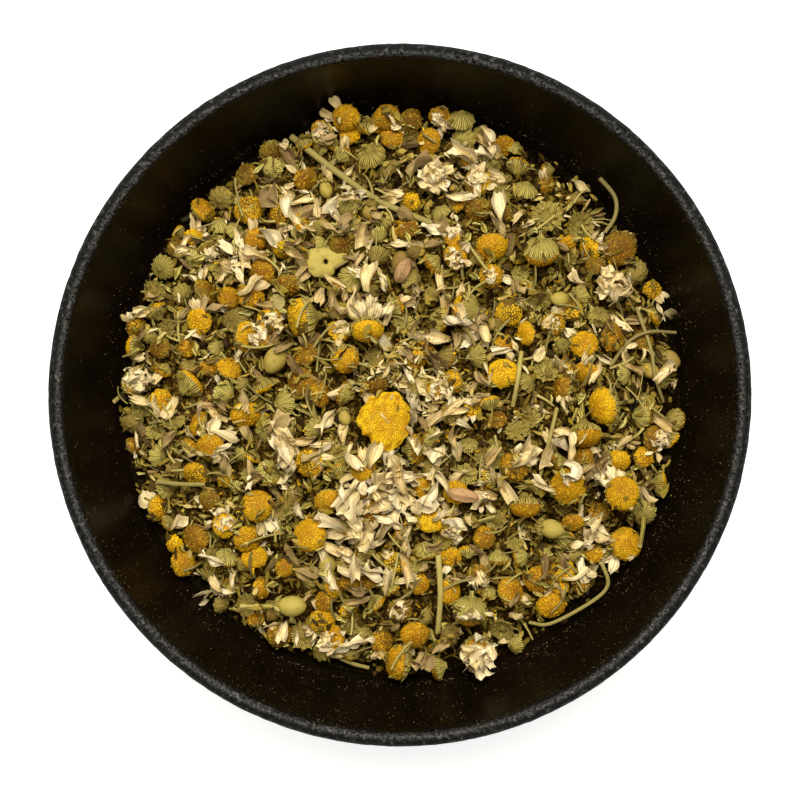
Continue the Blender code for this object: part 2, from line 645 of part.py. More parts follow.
def packed_flowers_body(rng):
    """The heap: its core with heads, petals and bits of stalk standing out of it."""
    bodies = [core_body()]
    bodies += [keep_inside(packed_head_body(row)) for row in PACKED_HEADS
               if clear_of_heads(row[0], row[1], 0.0)]
    for x, y in scattered_places(rng, LOOSE_PETALS, 2.5):
        bodies.append(keep_inside(loose_petal_body(rng, x, y)))
    for x, y in scattered_places(rng, LOOSE_BITS, 3.0):
        bodies.append(keep_inside(loose_bit_body(rng, x, y)))
    return fuse(bodies, flatness=6.0)


class Pile:
    """Everything placed so far, which the next piece comes to rest on."""

    def __init__(self):
        self.verts = []
        self.faces = []
        self.tree = None

    def add(self, bm, place=Vector((0, 0, 0))):
        shape = bm.copy()
        bmesh.ops.triangulate(shape, faces=shape.faces)
        shape.verts.index_update()
        start = len(self.verts)
        self.verts += [vert.co + place for vert in shape.verts]
        self.faces += [[start + vert.index for vert in face.verts] for face in shape.faces]
        self.tree = BVHTree.FromPolygons(self.verts, self.faces)
        shape.free()

    def touches(self, skin, place):
        """True if a piece's skin crosses anything in the pile."""
        points, faces = skin
        moved = BVHTree.FromPolygons([point + place for point in points], faces)
        return bool(self.tree.overlap(moved))

    def height(self, x, y):
        hit = self.tree.ray_cast(Vector((x, y, 90.0)), Vector((0, 0, -1)))
        return hit[0].z if hit[0] else 0.0


def swollen_skin(bodies, gap):
    """The triangles of some bodies, each point moved out by a gap."""
    points = []
    faces = []
    for bm in bodies:
        shape = bm.copy()
        bmesh.ops.triangulate(shape, faces=shape.faces)
        shape.normal_update()
        shape.verts.index_update()
        start = len(points)
        points += [vert.co + vert.normal * gap for vert in shape.verts]
        faces += [[start + vert.index for vert in face.verts] for face in shape.faces]
        shape.free()
    return points, faces


def settle(pile, bodies, x, y):
    """Lower a piece until it all but touches what lies below, and give that place."""
    skin = swollen_skin(bodies, GAP)
    lowest = min(point.z for point in skin[0])
    place = Vector((x, y, heap_height(x, y) - lowest + 9.0))
    while not pile.touches(skin, place) and place.z > 0:
        place.z -= SETTLE_STEP
    place.z += SETTLE_STEP
    while pile.touches(skin, place):
        place.z += SETTLE_STEP
    return place


def stalk_route(pile, radius, points):
    """A stalk's line: it lies over the highest things below it and sags only a little between."""
    line = smooth_points([(x, y, 0.0) for x, y in points], 2 * len(points) + 1)
    floor = []
    for point in line:
        around = [pile.height(point.x + dx, point.y + dy)
                  for dx in (-1.2, 0.0, 1.2) for dy in (-1.2, 0.0, 1.2)]
        floor.append(max(around) + radius + GAP)
    heights = list(floor)
    for _ in range(60):
        for index in range(1, len(heights) - 1):
            taut = (heights[index - 1] + heights[index + 1]) / 2 - 0.05
            heights[index] = max(floor[index], taut)
    return [Vector((point.x, point.y, height)) for point, height in zip(line, heights)]


def lay_stalk(pile, radius, points):
    """A stalk lifted just clear of the pile along its whole length."""
    body = keep_inside(tube(stalk_route(pile, radius, points), radius))
    place = Vector((0, 0, 0))
    skin = swollen_skin([body], GAP * 0.8)
    while pile.touches(skin, place):
        place.z += 0.1
    body.transform(Matrix.Translation(place))
    return body


def build():
    clear_scene()
    rng = random.Random(RANDOM_SEED)
    pile = Pile()

    bowl = bowl_body()
    pile.add(bowl)
    add_node("bowl", bowl, STONEWARE)

    heap = packed_flowers_body(rng)
    pile.add(heap)
    add_node("packed_flowers", heap, HERB)

    for head in LOOSE_HEADS:
        parts = [(part, kind, fuse(bodies)) for part, kind, bodies in head_bodies(head, HEAD_SIDES, rng)]
        place = settle(pile, [body for _, _, body in parts], head.x, head.y)
        for part, kind, body in parts:
            body.transform(Matrix.Translation(place))
            pile.add(body)
            add_node(head.name + part, body, kind)

    for name, radius, points in STALKS:
        stalk = lay_stalk(pile, radius, points)
        pile.add(stalk)
        add_node(name, stalk, STRAW)


build()
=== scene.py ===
import math
import random
from collections import namedtuple

import bmesh
import bpy
import numpy as np
from mathutils import Matrix, Vector, noise
from mathutils.bvhtree import BVHTree
from mathutils.geometry import intersect_point_line


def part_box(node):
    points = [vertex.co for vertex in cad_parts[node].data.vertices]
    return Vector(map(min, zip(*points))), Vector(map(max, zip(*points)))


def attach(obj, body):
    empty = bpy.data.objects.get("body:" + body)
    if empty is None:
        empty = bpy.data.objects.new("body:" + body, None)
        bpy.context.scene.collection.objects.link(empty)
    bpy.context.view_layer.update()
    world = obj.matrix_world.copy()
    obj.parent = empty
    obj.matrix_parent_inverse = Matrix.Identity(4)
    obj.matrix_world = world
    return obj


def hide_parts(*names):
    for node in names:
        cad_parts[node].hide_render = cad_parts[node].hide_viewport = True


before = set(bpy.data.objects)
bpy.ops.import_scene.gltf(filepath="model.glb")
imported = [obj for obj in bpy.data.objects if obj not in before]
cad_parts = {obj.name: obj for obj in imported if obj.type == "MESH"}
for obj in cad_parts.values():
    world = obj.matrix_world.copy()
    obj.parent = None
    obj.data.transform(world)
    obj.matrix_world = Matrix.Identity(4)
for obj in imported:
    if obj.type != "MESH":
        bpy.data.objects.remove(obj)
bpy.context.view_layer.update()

# Lengths are in millimetres until a piece is finished.
MM = 0.001

# The bowl, as in the part's source
RIM_RADIUS = 80.0
BOWL_HEIGHT = 58.0
RIM_WIDTH = 3.4
INNER_DEPTH = 52.0
WALL_CURVE = 2.3
FOOT_RADIUS = 36.0
FOOT_WIDTH = 4.5
FOOT_RECESS = 1.5

# The heap, as in the part's source
HEAP_EDGE_HEIGHT = 32.0
HEAP_CROWN = 11.0
HEAP_EDGE_RADIUS = 68.0
HEAP_ROUNDNESS = 2.6
HEAP_LUMP = 1.3
LUMP_SIZE = 11.0
WALL_CLEARANCE = 0.9
NEST = 0.45
GAP = 0.3
HEAP_SEED = 7

# The part's own scatter of larger petals and bits
SCATTER_RADIUS = 62.5
SCATTER_SPACING = 6.2
SCATTER_TRIES = 6000
PART_PETALS = 48
PART_BITS = 8

# The template sheets have the first thickness, and what is bent from them has the second.
SHEET_STEP = 0.01
SHEET_THICKNESS = 0.07

# How finely the bowl and the heap's core are cut
BOWL_SIDES = 380
OUTER_STEPS = 36
RIM_STEPS = 12
INNER_STEPS = 18
CORE_SIDES = 150
CORE_RINGS = 54

# How far apart the florets stand on the heads that lie on top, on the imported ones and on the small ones
LOOSE_PITCH = 0.47
PACKED_PITCH = 0.54
SMALL_PITCH = 0.65
GOLDEN_ANGLE = math.pi * (3 - math.sqrt(5))
BRACTS_ACROSS_A_RIB = 3

# How many pieces are strewn. Those that would hide a head are dropped.
SCENE_SEED = 23
SMALL_HEADS = 215
SMALL_HEAD_EDGE = 66.0
SMALL_HEAD_TRIES = 16000
CRUMBS = 3000
SHREDS = 2500
PALE_SHREDS = 420
BRACT_SCALES = 1500
STALK_BITS = 420
SMALL_HUSKS = 46
LOOSE_FLORETS = 500
STRAY_PETALS = 230
DUST_SPECKS = 3000

Head = namedtuple("Head", "name x y width form facing tilt petals stem tone")
# facing is the direction in plan that a head leans to, in degrees from +X, and tilt is how far
# it leans from upright. petals is (count, middle direction, spread) in the head's own plane.
# stem is the length of stalk left on it. tone runs from 0, old and brown, to 1, fresh and bright.

LOOSE_HEADS = [
    Head("conical_head", 39.5, -22.0, 8.5, "cone", 90, 32, None, 0, 0.72),
    Head("round_head_a", 52.0, -23.0, 8.0, "dome", 100, 8, (2, 20, 40), 0, 0.70),
    Head("round_head_b", 53.5, -35.5, 8.0, "dome", 20, 24, (3, 180, 110), 0, 0.74),
    Head("round_head_c", 52.0, 35.0, 8.5, "dome", 300, 14, None, 0, 0.38),
    Head("round_head_d", -33.5, -26.0, 7.5, "dome", 100, 12, (2, 200, 60), 0, 0.70),
    Head("round_head_e", -44.5, -12.0, 6.5, "dome", 260, 20, (3, 180, 130), 0, 0.62),
    Head("round_head_f", -21.0, -33.0, 8.0, "dome", 150, 22, (3, 180, 90), 0, 0.74),
    Head("nodding_head_a", -13.0, 9.5, 6.5, "cone", 285, 62, None, 3.0, 0.66),
    Head("nodding_head_b", -7.5, 15.5, 7.5, "dome", 270, 58, (4, 180, 110), 0, 0.80),
    Head("nodding_head_c", 43.5, -9.0, 8.0, "dome", 275, 72, None, 6.5, 0.62),
    Head("side_head_a", 48.5, -2.5, 9.0, "dome", 190, 62, None, 6.5, 0.80),
    Head("side_head_b", -22.5, 18.0, 9.5, "dome", 190, 78, None, 3.5, 0.86),
    Head("side_head_c", 0.0, -63.5, 8.5, "dome", 175, 72, None, 0, 0.66),
    Head("turned_head_a", 33.0, 34.0, 8.5, "dome", 270, 128, None, 1.5, 0.66),
    Head("turned_head_b", 16.5, -50.5, 8.5, "dome", 265, 122, (2, 180, 50), 1.5, 0.62),
    Head("turned_head_c", 15.5, 20.0, 8.0, "dome", 170, 118, None, 2.0, 0.70),
    Head("large_disc", -3.5, -6.0, 13.0, "flake", 60, 6, None, 0, 0.96),
    Head("petalled_head_a", 8.0, 51.0, 7.5, "petalled", 100, 15, (5, 0, 360), 0, 0.60),
    Head("petalled_head_b", 50.5, 25.5, 8.0, "petalled", 90, 20, (5, 90, 200), 0, 0.50),
    Head("petal_cluster", 18.0, -60.0, 8.0, "petalled", 300, 40, (5, 0, 360), 0, 0.60),
    Head("bare_receptacle_a", -26.0, -50.0, 6.0, "egg", 0, 84, None, 7.5, 0.60),
    Head("bare_receptacle_b", 35.5, -31.5, 5.5, "egg", 350, 80, None, 0, 0.50),
    Head("bare_receptacle_c", -29.0, 8.5, 6.0, "egg", 240, 70, None, 0, 0.45),
    Head("bract_rosette_a", 35.0, 42.5, 8.0, "rosette", 80, 18, None, 0, 0.45),
    Head("bract_rosette_b", 43.0, 40.5, 7.5, "rosette", 330, 24, None, 0, 0.40),
    Head("stalked_button", 58.0, -28.5, 6.5, "button", 80, 158, None, 8.0, 0.40),
    Head("green_button", -57.0, 30.5, 6.5, "button", 30, 165, None, 0, 0.35),
    Head("edge_flower", -63.5, 2.5, 6.5, "petalled", 40, 50, (4, 0, 360), 4.5, 0.55),
    Head("small_bud", -28.5, 22.0, 4.0, "button", 200, 20, None, 0, 0.40),
]

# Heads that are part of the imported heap: x, y, width, form, facing, tilt, tone.
PACKED_HEADS = [
    (21.5, 35.0, 7.5, "dome", 270, 35, 0.70), (21.5, 28.0, 6.0, "dome", 200, 20, 0.62),
    (25.5, 19.5, 6.5, "dome", 300, 30, 0.85), (24.0, 5.0, 7.0, "dome", 120, 25, 0.90),
    (30.0, 14.5, 5.5, "dome", 180, 55, 0.80), (43.5, 12.0, 6.5, "dome", 140, 20, 0.74),
    (44.0, 5.5, 6.0, "dome", 250, 40, 0.66), (36.0, 16.5, 6.0, "petalled", 60, 10, 0.60),
    (7.0, -29.0, 7.0, "dome", 90, 30, 0.88), (6.0, -36.0, 6.0, "button", 270, 120, 0.50),
    (-1.0, -40.0, 5.5, "dome", 120, 20, 0.90), (11.5, -46.5, 6.0, "dome", 20, 30, 0.70),
    (3.5, -57.0, 7.0, "dome", 270, 20, 0.58), (0.0, -51.0, 5.5, "dome", 80, 15, 0.30),
    (-4.5, -58.5, 6.0, "dome", 0, 40, 0.52), (26.0, -46.5, 7.0, "dome", 30, 35, 0.55),
    (36.0, -50.0, 7.0, "dome", 280, 30, 0.64), (52.0, -15.5, 5.5, "dome", 260, 25, 0.75),
    (41.0, -30.0, 5.0, "dome", 270, 40, 0.58), (47.5, -28.0, 5.0, "dome", 90, 40, 0.42),
    (29.5, -26.0, 7.5, "dome", 270, 80, 0.60), (-36.0, 44.0, 7.0, "dome", 100, 30, 0.66),
    (-34.5, 37.0, 5.5, "dome", 300, 15, 0.60), (-32.5, 29.0, 6.5, "dome", 200, 30, 0.48),
    (-40.5, 23.0, 5.5, "dome", 45, 20, 0.56), (-47.5, 17.5, 6.5, "dome", 200, 25, 0.80),
    (-40.5, 6.0, 6.0, "dome", 60, 60, 0.70), (-27.5, -2.0, 7.0, "button", 0, 130, 0.42),
    (-36.5, -4.5, 7.0, "dome", 290, 40, 0.70), (-50.5, 2.0, 8.0, "button", 45, 110, 0.38),
    (-36.5, 14.0, 7.0, "dome", 0, 60, 0.76), (13.0, 32.5, 6.0, "petalled", 0, 20, 0.70),
    (18.5, 44.0, 6.5, "dome", 270, 40, 0.40), (18.5, 50.5, 6.5, "petalled", 120, 20, 0.70),
    (-7.0, 57.5, 7.5, "button", 300, 150, 0.42), (-12.0, 62.5, 5.5, "dome", 90, 25, 0.72),
    (-2.0, 61.5, 5.5, "dome", 90, 20, 0.60), (7.0, 60.5, 6.5, "dome", 180, 35, 0.62),
    (15.0, 61.0, 6.5, "button", 40, 140, 0.40), (-43.0, 47.0, 6.5, "button", 60, 160, 0.36),
    (-36.5, 52.5, 6.0, "dome", 120, 40, 0.28), (-27.5, 57.0, 6.0, "rosette", 100, 20, 0.40),
    (-22.5, 51.5, 5.5, "dome", 300, 30, 0.45), (-48.5, -34.0, 7.0, "dome", 200, 30, 0.46),
    (-57.0, 11.5, 5.5, "dome", 200, 30, 0.35), (-57.5, -14.5, 5.5, "button", 180, 140, 0.40),
    (-41.5, -31.0, 6.0, "dome", 70, 30, 0.92), (-41.0, -38.0, 6.0, "button", 250, 120, 0.48),
    (-34.5, -38.5, 6.0, "dome", 90, 30, 0.78), (-27.5, -41.0, 4.5, "dome", 20, 20, 0.56),
    (-45.0, -25.0, 5.5, "dome", 230, 25, 0.34), (-55.5, -22.0, 6.0, "button", 200, 130, 0.36),
    (-13.0, -5.0, 4.5, "egg", 290, 70, 0.45), (-21.0, -15.5, 8.0, "dome", 210, 20, 0.76),
    (-48.0, -18.5, 7.0, "dome", 240, 50, 0.72), (-15.5, -57.5, 6.0, "petalled", 200, 40, 0.60),
    (24.5, -56.0, 6.5, "rosette", 250, 40, 0.40), (29.0, -38.0, 5.0, "button", 200, 120, 0.45),
    (57.0, -5.0, 6.0, "button", 0, 120, 0.40), (60.5, -10.5, 6.5, "petalled", 0, 40, 0.45),
    (58.0, 13.0, 5.5, "dome", 30, 35, 0.40), (59.5, 6.0, 5.0, "egg", 330, 60, 0.40),
    (38.0, -15.5, 5.0, "button", 200, 100, 0.45), (27.5, -8.5, 6.0, "rosette", 100, 30, 0.38),
    (16.5, -3.0, 5.0, "dome", 40, 30, 0.86), (16.0, -11.5, 5.0, "button", 270, 140, 0.45),
    (15.5, -18.5, 5.5, "rosette", 90, 20, 0.42), (-17.0, -24.5, 6.5, "dome", 280, 45, 0.60),
    (-8.5, -17.0, 6.5, "dome", 120, 25, 0.66), (8.5, 1.0, 5.5, "petalled", 20, 20, 0.60),
    (0.0, 31.0, 6.0, "egg", 80, 80, 0.10), (9.5, 43.5, 5.0, "button", 300, 130, 0.40),
    (-17.5, 49.0, 5.0, "egg", 280, 75, 0.45), (-12.0, -44.5, 5.0, "dome", 80, 40, 0.56),
    (-18.0, -49.0, 5.0, "dome", 180, 30, 0.50), (4.5, -44.5, 5.0, "dome", 350, 35, 0.60),
    (12.0, -38.0, 5.0, "dome", 270, 20, 0.74), (12.0, -31.0, 5.5, "petalled", 290, 30, 0.80),
    (24.0, 48.5, 6.0, "rosette", 20, 35, 0.40), (28.0, 54.0, 6.0, "button", 80, 120, 0.38),
    (40.5, 31.5, 5.5, "rosette", 0, 60, 0.36), (47.0, 19.0, 6.0, "button", 270, 150, 0.36),
    (38.0, 22.5, 5.5, "egg", 180, 60, 0.50), (34.5, 6.0, 6.0, "rosette", 90, 15, 0.40),
    (-17.5, 31.5, 7.5, "flake", 0, 8, 0.10), (-51.5, 24.0, 6.0, "button", 160, 140, 0.34),
]

# Heads that lean on the bowl's wall at the far edge: the same, then how far each is raised.
EDGE_HEADS = [
    (-12.8, 66.0, 6.5, "dome", 270, 25, 0.64, 3.2), (-18.5, 63.0, 5.5, "petalled", 250, 25, 0.60, 2.4),
    (-3.0, 66.2, 6.5, "dome", 265, 20, 0.55, 3.2), (2.5, 65.5, 5.5, "dome", 300, 30, 0.42, 2.6),
    (14.5, 66.0, 7.0, "button", 270, 140, 0.40, 3.4), (9.5, 66.5, 5.0, "petalled", 250, 30, 0.60, 3.0),
    (20.0, 63.0, 5.5, "button", 260, 120, 0.30, 2.0), (-23.0, 61.0, 5.0, "button", 290, 120, 0.25, 2.0),
    (-31.0, 58.5, 5.5, "dome", 300, 40, 0.30, 1.5), (27.5, 59.5, 5.0, "button", 240, 130, 0.35, 1.5),
    (-8.0, 64.5, 5.0, "button", 270, 110, 0.35, 1.5),
]

# Loose stalks: name, radius, tone, and the points in plan that each passes through.
STALKS = [
    ("thick_stalk", 0.85, 0.45, [(-26.0, 62.0), (-17.0, 54.5), (-5.0, 46.0), (7.5, 40.5)]),
    ("upright_stalk", 0.75, 0.85, [(9.0, -37.5), (9.5, -47.0), (9.0, -56.5)]),
    ("pale_stalk", 0.6, 0.8, [(28.5, 10.0), (27.5, 4.0), (26.5, -2.5)]),
    ("hooked_stalk", 0.55, 0.2, [(47.5, 51.5), (51.0, 47.0), (51.0, 42.5), (48.5, 38.5)]),
    ("long_thin_stalk", 0.45, 0.4, [(56.5, 21.0), (59.5, 11.0), (60.5, 4.5), (63.0, -1.5)]),
    ("arched_stalk", 0.45, 0.2, [(50.0, 7.0), (54.0, 12.5), (59.0, 15.0), (66.0, 15.0)]),
    ("left_stalk", 0.6, 0.4, [(-57.5, -20.5), (-52.0, -21.0), (-46.0, -21.0)]),
    ("looped_stalk", 0.5, 0.45,
     [(48.0, -40.0), (49.5, -45.0), (46.0, -49.0), (36.0, -54.5), (31.0, -54.5)]),
    ("fallen_stalk", 0.55, 0.4, [(-14.5, -63.0), (-11.0, -64.5), (-7.5, -65.5)]),
    ("slanting_stalk", 0.5, 0.6, [(37.0, -3.0), (35.0, -11.0), (33.0, -19.5)]),
]


def paint(red, green, blue):
    """A colour given in screen values, as the shader's own linear values."""
    return tuple(((c / 255 + 0.055) / 1.055) ** 2.4 if c > 10 else c / 255 / 12.92
                 for c in (red, green, blue)) + (1.0,)


# Materials

class Wire:
    """A socket of a material, with arithmetic on it that adds Math nodes."""

    def __init__(self, finish, socket):
        self.finish = finish
        self.socket = socket

    def __add__(self, other):
        return self.finish.math("ADD", self, other)

    def __radd__(self, other):
        return self.finish.math("ADD", other, self)

    def __sub__(self, other):
        return self.finish.math("SUBTRACT", self, other)

    def __rsub__(self, other):
        return self.finish.math("SUBTRACT", other, self)

    def __mul__(self, other):
        return self.finish.math("MULTIPLY", self, other)


class Finish:
    """A material in the making."""

    def __init__(self, name):
        self.made = bpy.data.materials.new(name)
        self.made.use_nodes = True
        self.tree = self.made.node_tree
        self.shader = self.tree.nodes["Principled BSDF"]

    def add(self, kind, settings=(), values=(), output=0):
        """A node: its settings first, then the values or links of its sockets."""
        node = self.tree.nodes.new(kind)
        for key, value in dict(settings).items():
            if key == "stops":
                self.set_stops(node.color_ramp, value)
            else:
                setattr(node, key, value)
        pairs = values.items() if isinstance(values, dict) else enumerate(values)
        for key, value in pairs:
            if isinstance(value, Wire):
                self.tree.links.new(value.socket, node.inputs[key])
            else:
                node.inputs[key].default_value = value
        return Wire(self, node.outputs[output])

    def set_stops(self, ramp, stops):
        """Each stop is its place from 0 to 1, then its colour in screen values."""
        while len(ramp.elements) < len(stops):
            ramp.elements.new(1.0)
        for element, (place, *colour) in zip(ramp.elements, stops):
            element.position = place
            element.color = paint(*colour)

    def math(self, operation, *values):
        return self.add("ShaderNodeMath", {"operation": operation}, values)

    def attribute(self, name):
        return self.add("ShaderNodeAttribute", {"attribute_name": name}, output="Fac")

    def position(self):
        return self.add("ShaderNodeTexCoord", output="Object")

    def grain(self, size, detail=2.0, stretch=None):
        """Soft noise from 0 to 1 whose blobs are about a size in millimetres."""
        where = self.position()
        if stretch:
            where = self.add("ShaderNodeMapping", {}, {"Vector": where, "Scale": stretch})
        return self.add("ShaderNodeTexNoise", {}, {"Vector": where, "Scale": 1000.0 / size,
                                                   "Detail": detail, "Roughness": 0.6})

    def spots(self, size):
        """The distance to the nearest of many scattered points, in units of their spacing."""
        return self.add("ShaderNodeTexVoronoi", {}, {"Vector": self.position(), "Scale": 1000.0 / size})

    def span(self, value, low, high, first=0.0, last=1.0):
        """A value moved from one range into another, held at its ends."""
        ends = {"From Min": low, "From Max": high, "To Min": first, "To Max": last}
        return self.add("ShaderNodeMapRange", {}, {"Value": value, **ends})

    def ramp(self, value, stops):
        return self.add("ShaderNodeValToRGB", {"stops": stops}, [value])

    def mix(self, factor, first, second, blend="MIX"):
        return self.add("ShaderNodeMix", {"data_type": "RGBA", "blend_type": blend},
                        {0: factor, 6: first, 7: second}, output=2)

    def bump(self, height, distance, strength=1.0):
        return self.add("ShaderNodeBump", {}, {"Strength": strength, "Distance": distance * MM,
                                               "Height": height})

    def done(self, **sockets):
        for name, value in sockets.items():
            socket = self.shader.inputs[name.replace("_", " ")]
            if isinstance(value, Wire):
                self.tree.links.new(value.socket, socket)
            else:
                socket.default_value = value
        return self.made


def stoneware():
    """Charcoal glaze: dry, pitted and speckled outside and on the rim, satin inside. Here shade
    is where a painted highlight lies along the rim's inner edge, and along is 1 on the smooth inside."""
    f = Finish("charcoal_stoneware")
    inside = f.attribute("along")
    soft = f.grain(9.0, 3.0)
    fine = f.grain(0.7, 3.0)
    pits = f.spots(1.3)
    flecks = f.span(f.grain(1.2, 4.0), 0.40, 0.64)
    outer = f.ramp(flecks * 0.8 + soft * 0.2, [(0.1, 3, 3, 4), (0.5, 8, 9, 10),
                                               (0.75, 25, 26, 27), (0.95, 74, 74, 72)])
    # Painted highlight: a lighter grey band of specks along the rim's inner edge.
    painted_highlight = f.attribute("shade") * f.span(f.grain(0.6, 3.0), 0.38, 0.60)
    outer = f.mix(painted_highlight * 0.38, outer, paint(140, 140, 137))
    inner = f.ramp(soft, [(0.3, 9, 5, 1), (0.7, 19, 11, 4)])
    colour = f.mix(inside, outer, inner)
    rough = f.span(inside, 0.0, 1.0, 0.62, 0.40) + (fine - 0.5) * 0.14
    relief = flecks * 0.6 + f.span(pits, 0.0, 0.6) * 0.4
    return f.done(Base_Color=colour, Roughness=rough,
                  Normal=f.bump(relief * (1.03 - inside), 0.45, 1.0), Specular_IOR_Level=0.2)


def floret_finish():
    """Granular yellow discs: golden on the florets, with painted shade, brown, between them and at their
    roots.
    """
    f = Finish("dried_disc_florets")
    tone, shade, along = f.attribute("tone"), f.attribute("shade"), f.attribute("along")
    lit = f.ramp(tone + (shade - 0.5) * 0.16, [
        (0.00, 190, 186, 96), (0.16, 138, 122, 40), (0.30, 112, 84, 20),
        (0.45, 146, 106, 16), (0.60, 190, 142, 12), (0.78, 216, 168, 12),
        (1.00, 238, 196, 20)])
    # Painted shade: brown multiplied in between the florets and at their roots, where along is low.
    painted_shade_between_florets = f.mix(0.6, lit, paint(164, 122, 56), "MULTIPLY")
    mask = f.span(along, 0.0, 0.7)
    colour = f.mix(mask, painted_shade_between_florets, lit)
    tips = f.span(shade, 0.72, 1.0, 0.0, 0.3) * mask
    colour = f.mix(tips, colour, paint(232, 196, 62))
    patches = f.span(f.grain(1.3, 3.0), 0.52, 0.70, 0.0, 0.45)
    colour = f.mix(patches, colour, paint(146, 88, 16))
    greens = f.span(f.grain(2.8, 2.0), 0.54, 0.72, 0.0, 0.4)
    colour = f.mix(greens, colour, paint(140, 128, 30))
    rough = 0.78 - f.grain(1.5) * 0.2
    return f.done(Base_Color=colour, Roughness=rough, Normal=f.bump(f.grain(0.22), 0.10, 0.8),
                  Specular_IOR_Level=0.2)


def bract_finish():
    """Dry bracts: olive in the grooves, straw along the ribs, browner with age."""
    f = Finish("dried_bracts")
    tone, shade, along = f.attribute("tone"), f.attribute("shade"), f.attribute("along")
    mottle = f.grain(1.1, 3.0)
    groove = f.ramp(tone + (mottle - 0.5) * 0.3, [
        (0.0, 44, 31, 6), (0.35, 58, 48, 8), (0.7, 78, 70, 14),
        (1.0, 124, 116, 44)])
    crest = f.ramp(tone + (mottle - 0.5) * 0.4, [
        (0.0, 142, 112, 52), (0.4, 178, 158, 72), (0.75, 206, 190, 96),
        (1.0, 224, 212, 128)])
    ridges = f.math("COSINE", shade * BRACTS_ACROSS_A_RIB * math.pi)
    lines = 0.5 - ridges * 0.5
    colour = f.mix(f.span(lines * 0.65 + shade * 0.35, 0.12, 0.72), groove, crest)
    edge = f.span(along, 0.84, 1.0, 0.0, 0.5)
    colour = f.mix(edge, colour, paint(204, 190, 130))
    stains = f.span(f.grain(2.2, 3.0), 0.55, 0.72, 0.0, 0.5)
    colour = f.mix(stains, colour, paint(92, 68, 22))
    rough = 0.55 + mottle * 0.2
    relief = lines * 0.7 + f.grain(0.3) * 0.5
    return f.done(Base_Color=colour, Roughness=rough, Normal=f.bump(relief, 0.12, 0.8),
                  Specular_IOR_Level=0.3)


def petal_finish():
    """Shrivelled petals: cream, veined lengthwise, tan at the root and where they are old, with patches of
    painted shade for their folds.
    """
    f = Finish("dried_petals")
    tone, shade, along = f.attribute("tone"), f.attribute("shade"), f.attribute("along")
    mottle = f.grain(1.6, 3.0)
    base = f.ramp(tone + (mottle - 0.5) * 0.4, [
        (0.00, 253, 240, 200), (0.30, 242, 222, 164), (0.55, 208, 182, 122),
        (0.78, 166, 142, 92), (1.00, 122, 98, 58)])
    root = f.span(along, 0.0, 0.35, 0.55, 0.0)
    colour = f.mix(root, base, paint(164, 146, 72))
    veins = f.math("SINE", shade * 22.0)
    colour = f.mix(f.span(veins, 0.2, 1.0, 0.0, 0.35), colour, paint(140, 114, 66))
    margin = f.math("ABSOLUTE", shade * 2.0 - 1.0)
    colour = f.mix(f.span(margin, 0.7, 1.0, 0.0, 0.4), colour, paint(126, 98, 54))
    # Painted shade: patches of noise that darken the petals as shade in their folds would.
    painted_fold_shade = f.span(f.grain(1.0, 3.0), 0.56, 0.74, 0.0, 0.45)
    colour = f.mix(painted_fold_shade, colour, paint(134, 106, 60))
    relief = veins * 0.4 + f.grain(0.4) * 0.8
    return f.done(Base_Color=colour, Roughness=0.62 + mottle * 0.2,
                  Normal=f.bump(relief, 0.14, 0.9), Specular_IOR_Level=0.3)


def stalk_finish():
    """Dry stalks: olive to straw, finely streaked along their length."""
    f = Finish("dried_stalks")
    tone, shade = f.attribute("tone"), f.attribute("shade")
    mottle = f.grain(1.4, 3.0)
    base = f.ramp(tone + (mottle - 0.5) * 0.35, [
        (0.0, 90, 68, 32), (0.4, 124, 108, 42), (0.75, 164, 148, 66),
        (1.0, 200, 180, 104)])
    colour = f.mix(f.span(shade, 0.2, 0.9, 0.0, 0.5), base, paint(206, 196, 128))
    return f.done(Base_Color=colour, Roughness=0.55 + mottle * 0.2,
                  Normal=f.bump(f.grain(0.35), 0.08, 0.6), Specular_IOR_Level=0.3)


def crumb_finish():
    """Crumbs of leaf, stalk and bract, each with its own shade."""
    f = Finish("herb_crumbs")
    tone = f.attribute("tone")
    mottle = f.grain(0.6, 3.0)
    colour = f.ramp(tone + (mottle - 0.5) * 0.22, [
        (0.0, 24, 15, 2), (0.25, 72, 52, 10), (0.45, 106, 86, 20),
        (0.62, 138, 120, 36), (0.78, 172, 148, 64), (0.9, 206, 182, 108),
        (1.0, 240, 226, 176)])
    return f.done(Base_Color=colour, Roughness=0.68 + mottle * 0.2,
                  Normal=f.bump(f.grain(0.25), 0.08, 0.7), Specular_IOR_Level=0.25)


def packed_finish():
    """The heap between its pieces: crumbs pressed together, with painted shade in the gaps between them and
    more painted shade the deeper they lie.
    """
    f = Finish("pressed_crumbs")
    depth = f.attribute("tone")
    gaps = f.spots(1.1)
    streaks = f.grain(0.9, 3.0, stretch=(1.0, 0.35, 1.0))
    specks = f.grain(0.5, 3.0)
    mixed = f.span(streaks * 0.5 + specks * 0.5, 0.36, 0.64)
    colour = f.ramp(mixed, [
        (0.0, 16, 9, 1), (0.35, 62, 42, 8), (0.6, 106, 82, 24),
        (0.8, 142, 118, 50), (1.0, 196, 172, 104)])
    # Painted shade in the gaps between the pressed crumbs.
    colour = f.mix(f.span(gaps, 0.3, 0.65, 0.0, 0.75), colour, paint(20, 12, 2))
    # Painted shade where the core lies deep: in its hollows, towards the heap's edge and below its top.
    colour = f.mix(f.span(depth, 0.0, 0.25, 0.92, 0.0), colour, paint(10, 6, 1))
    relief = mixed * 0.5 - gaps * 0.5
    return f.done(Base_Color=colour, Roughness=0.75 + specks * 0.2,
                  Normal=f.bump(relief, 0.5, 1.0), Specular_IOR_Level=0.04)


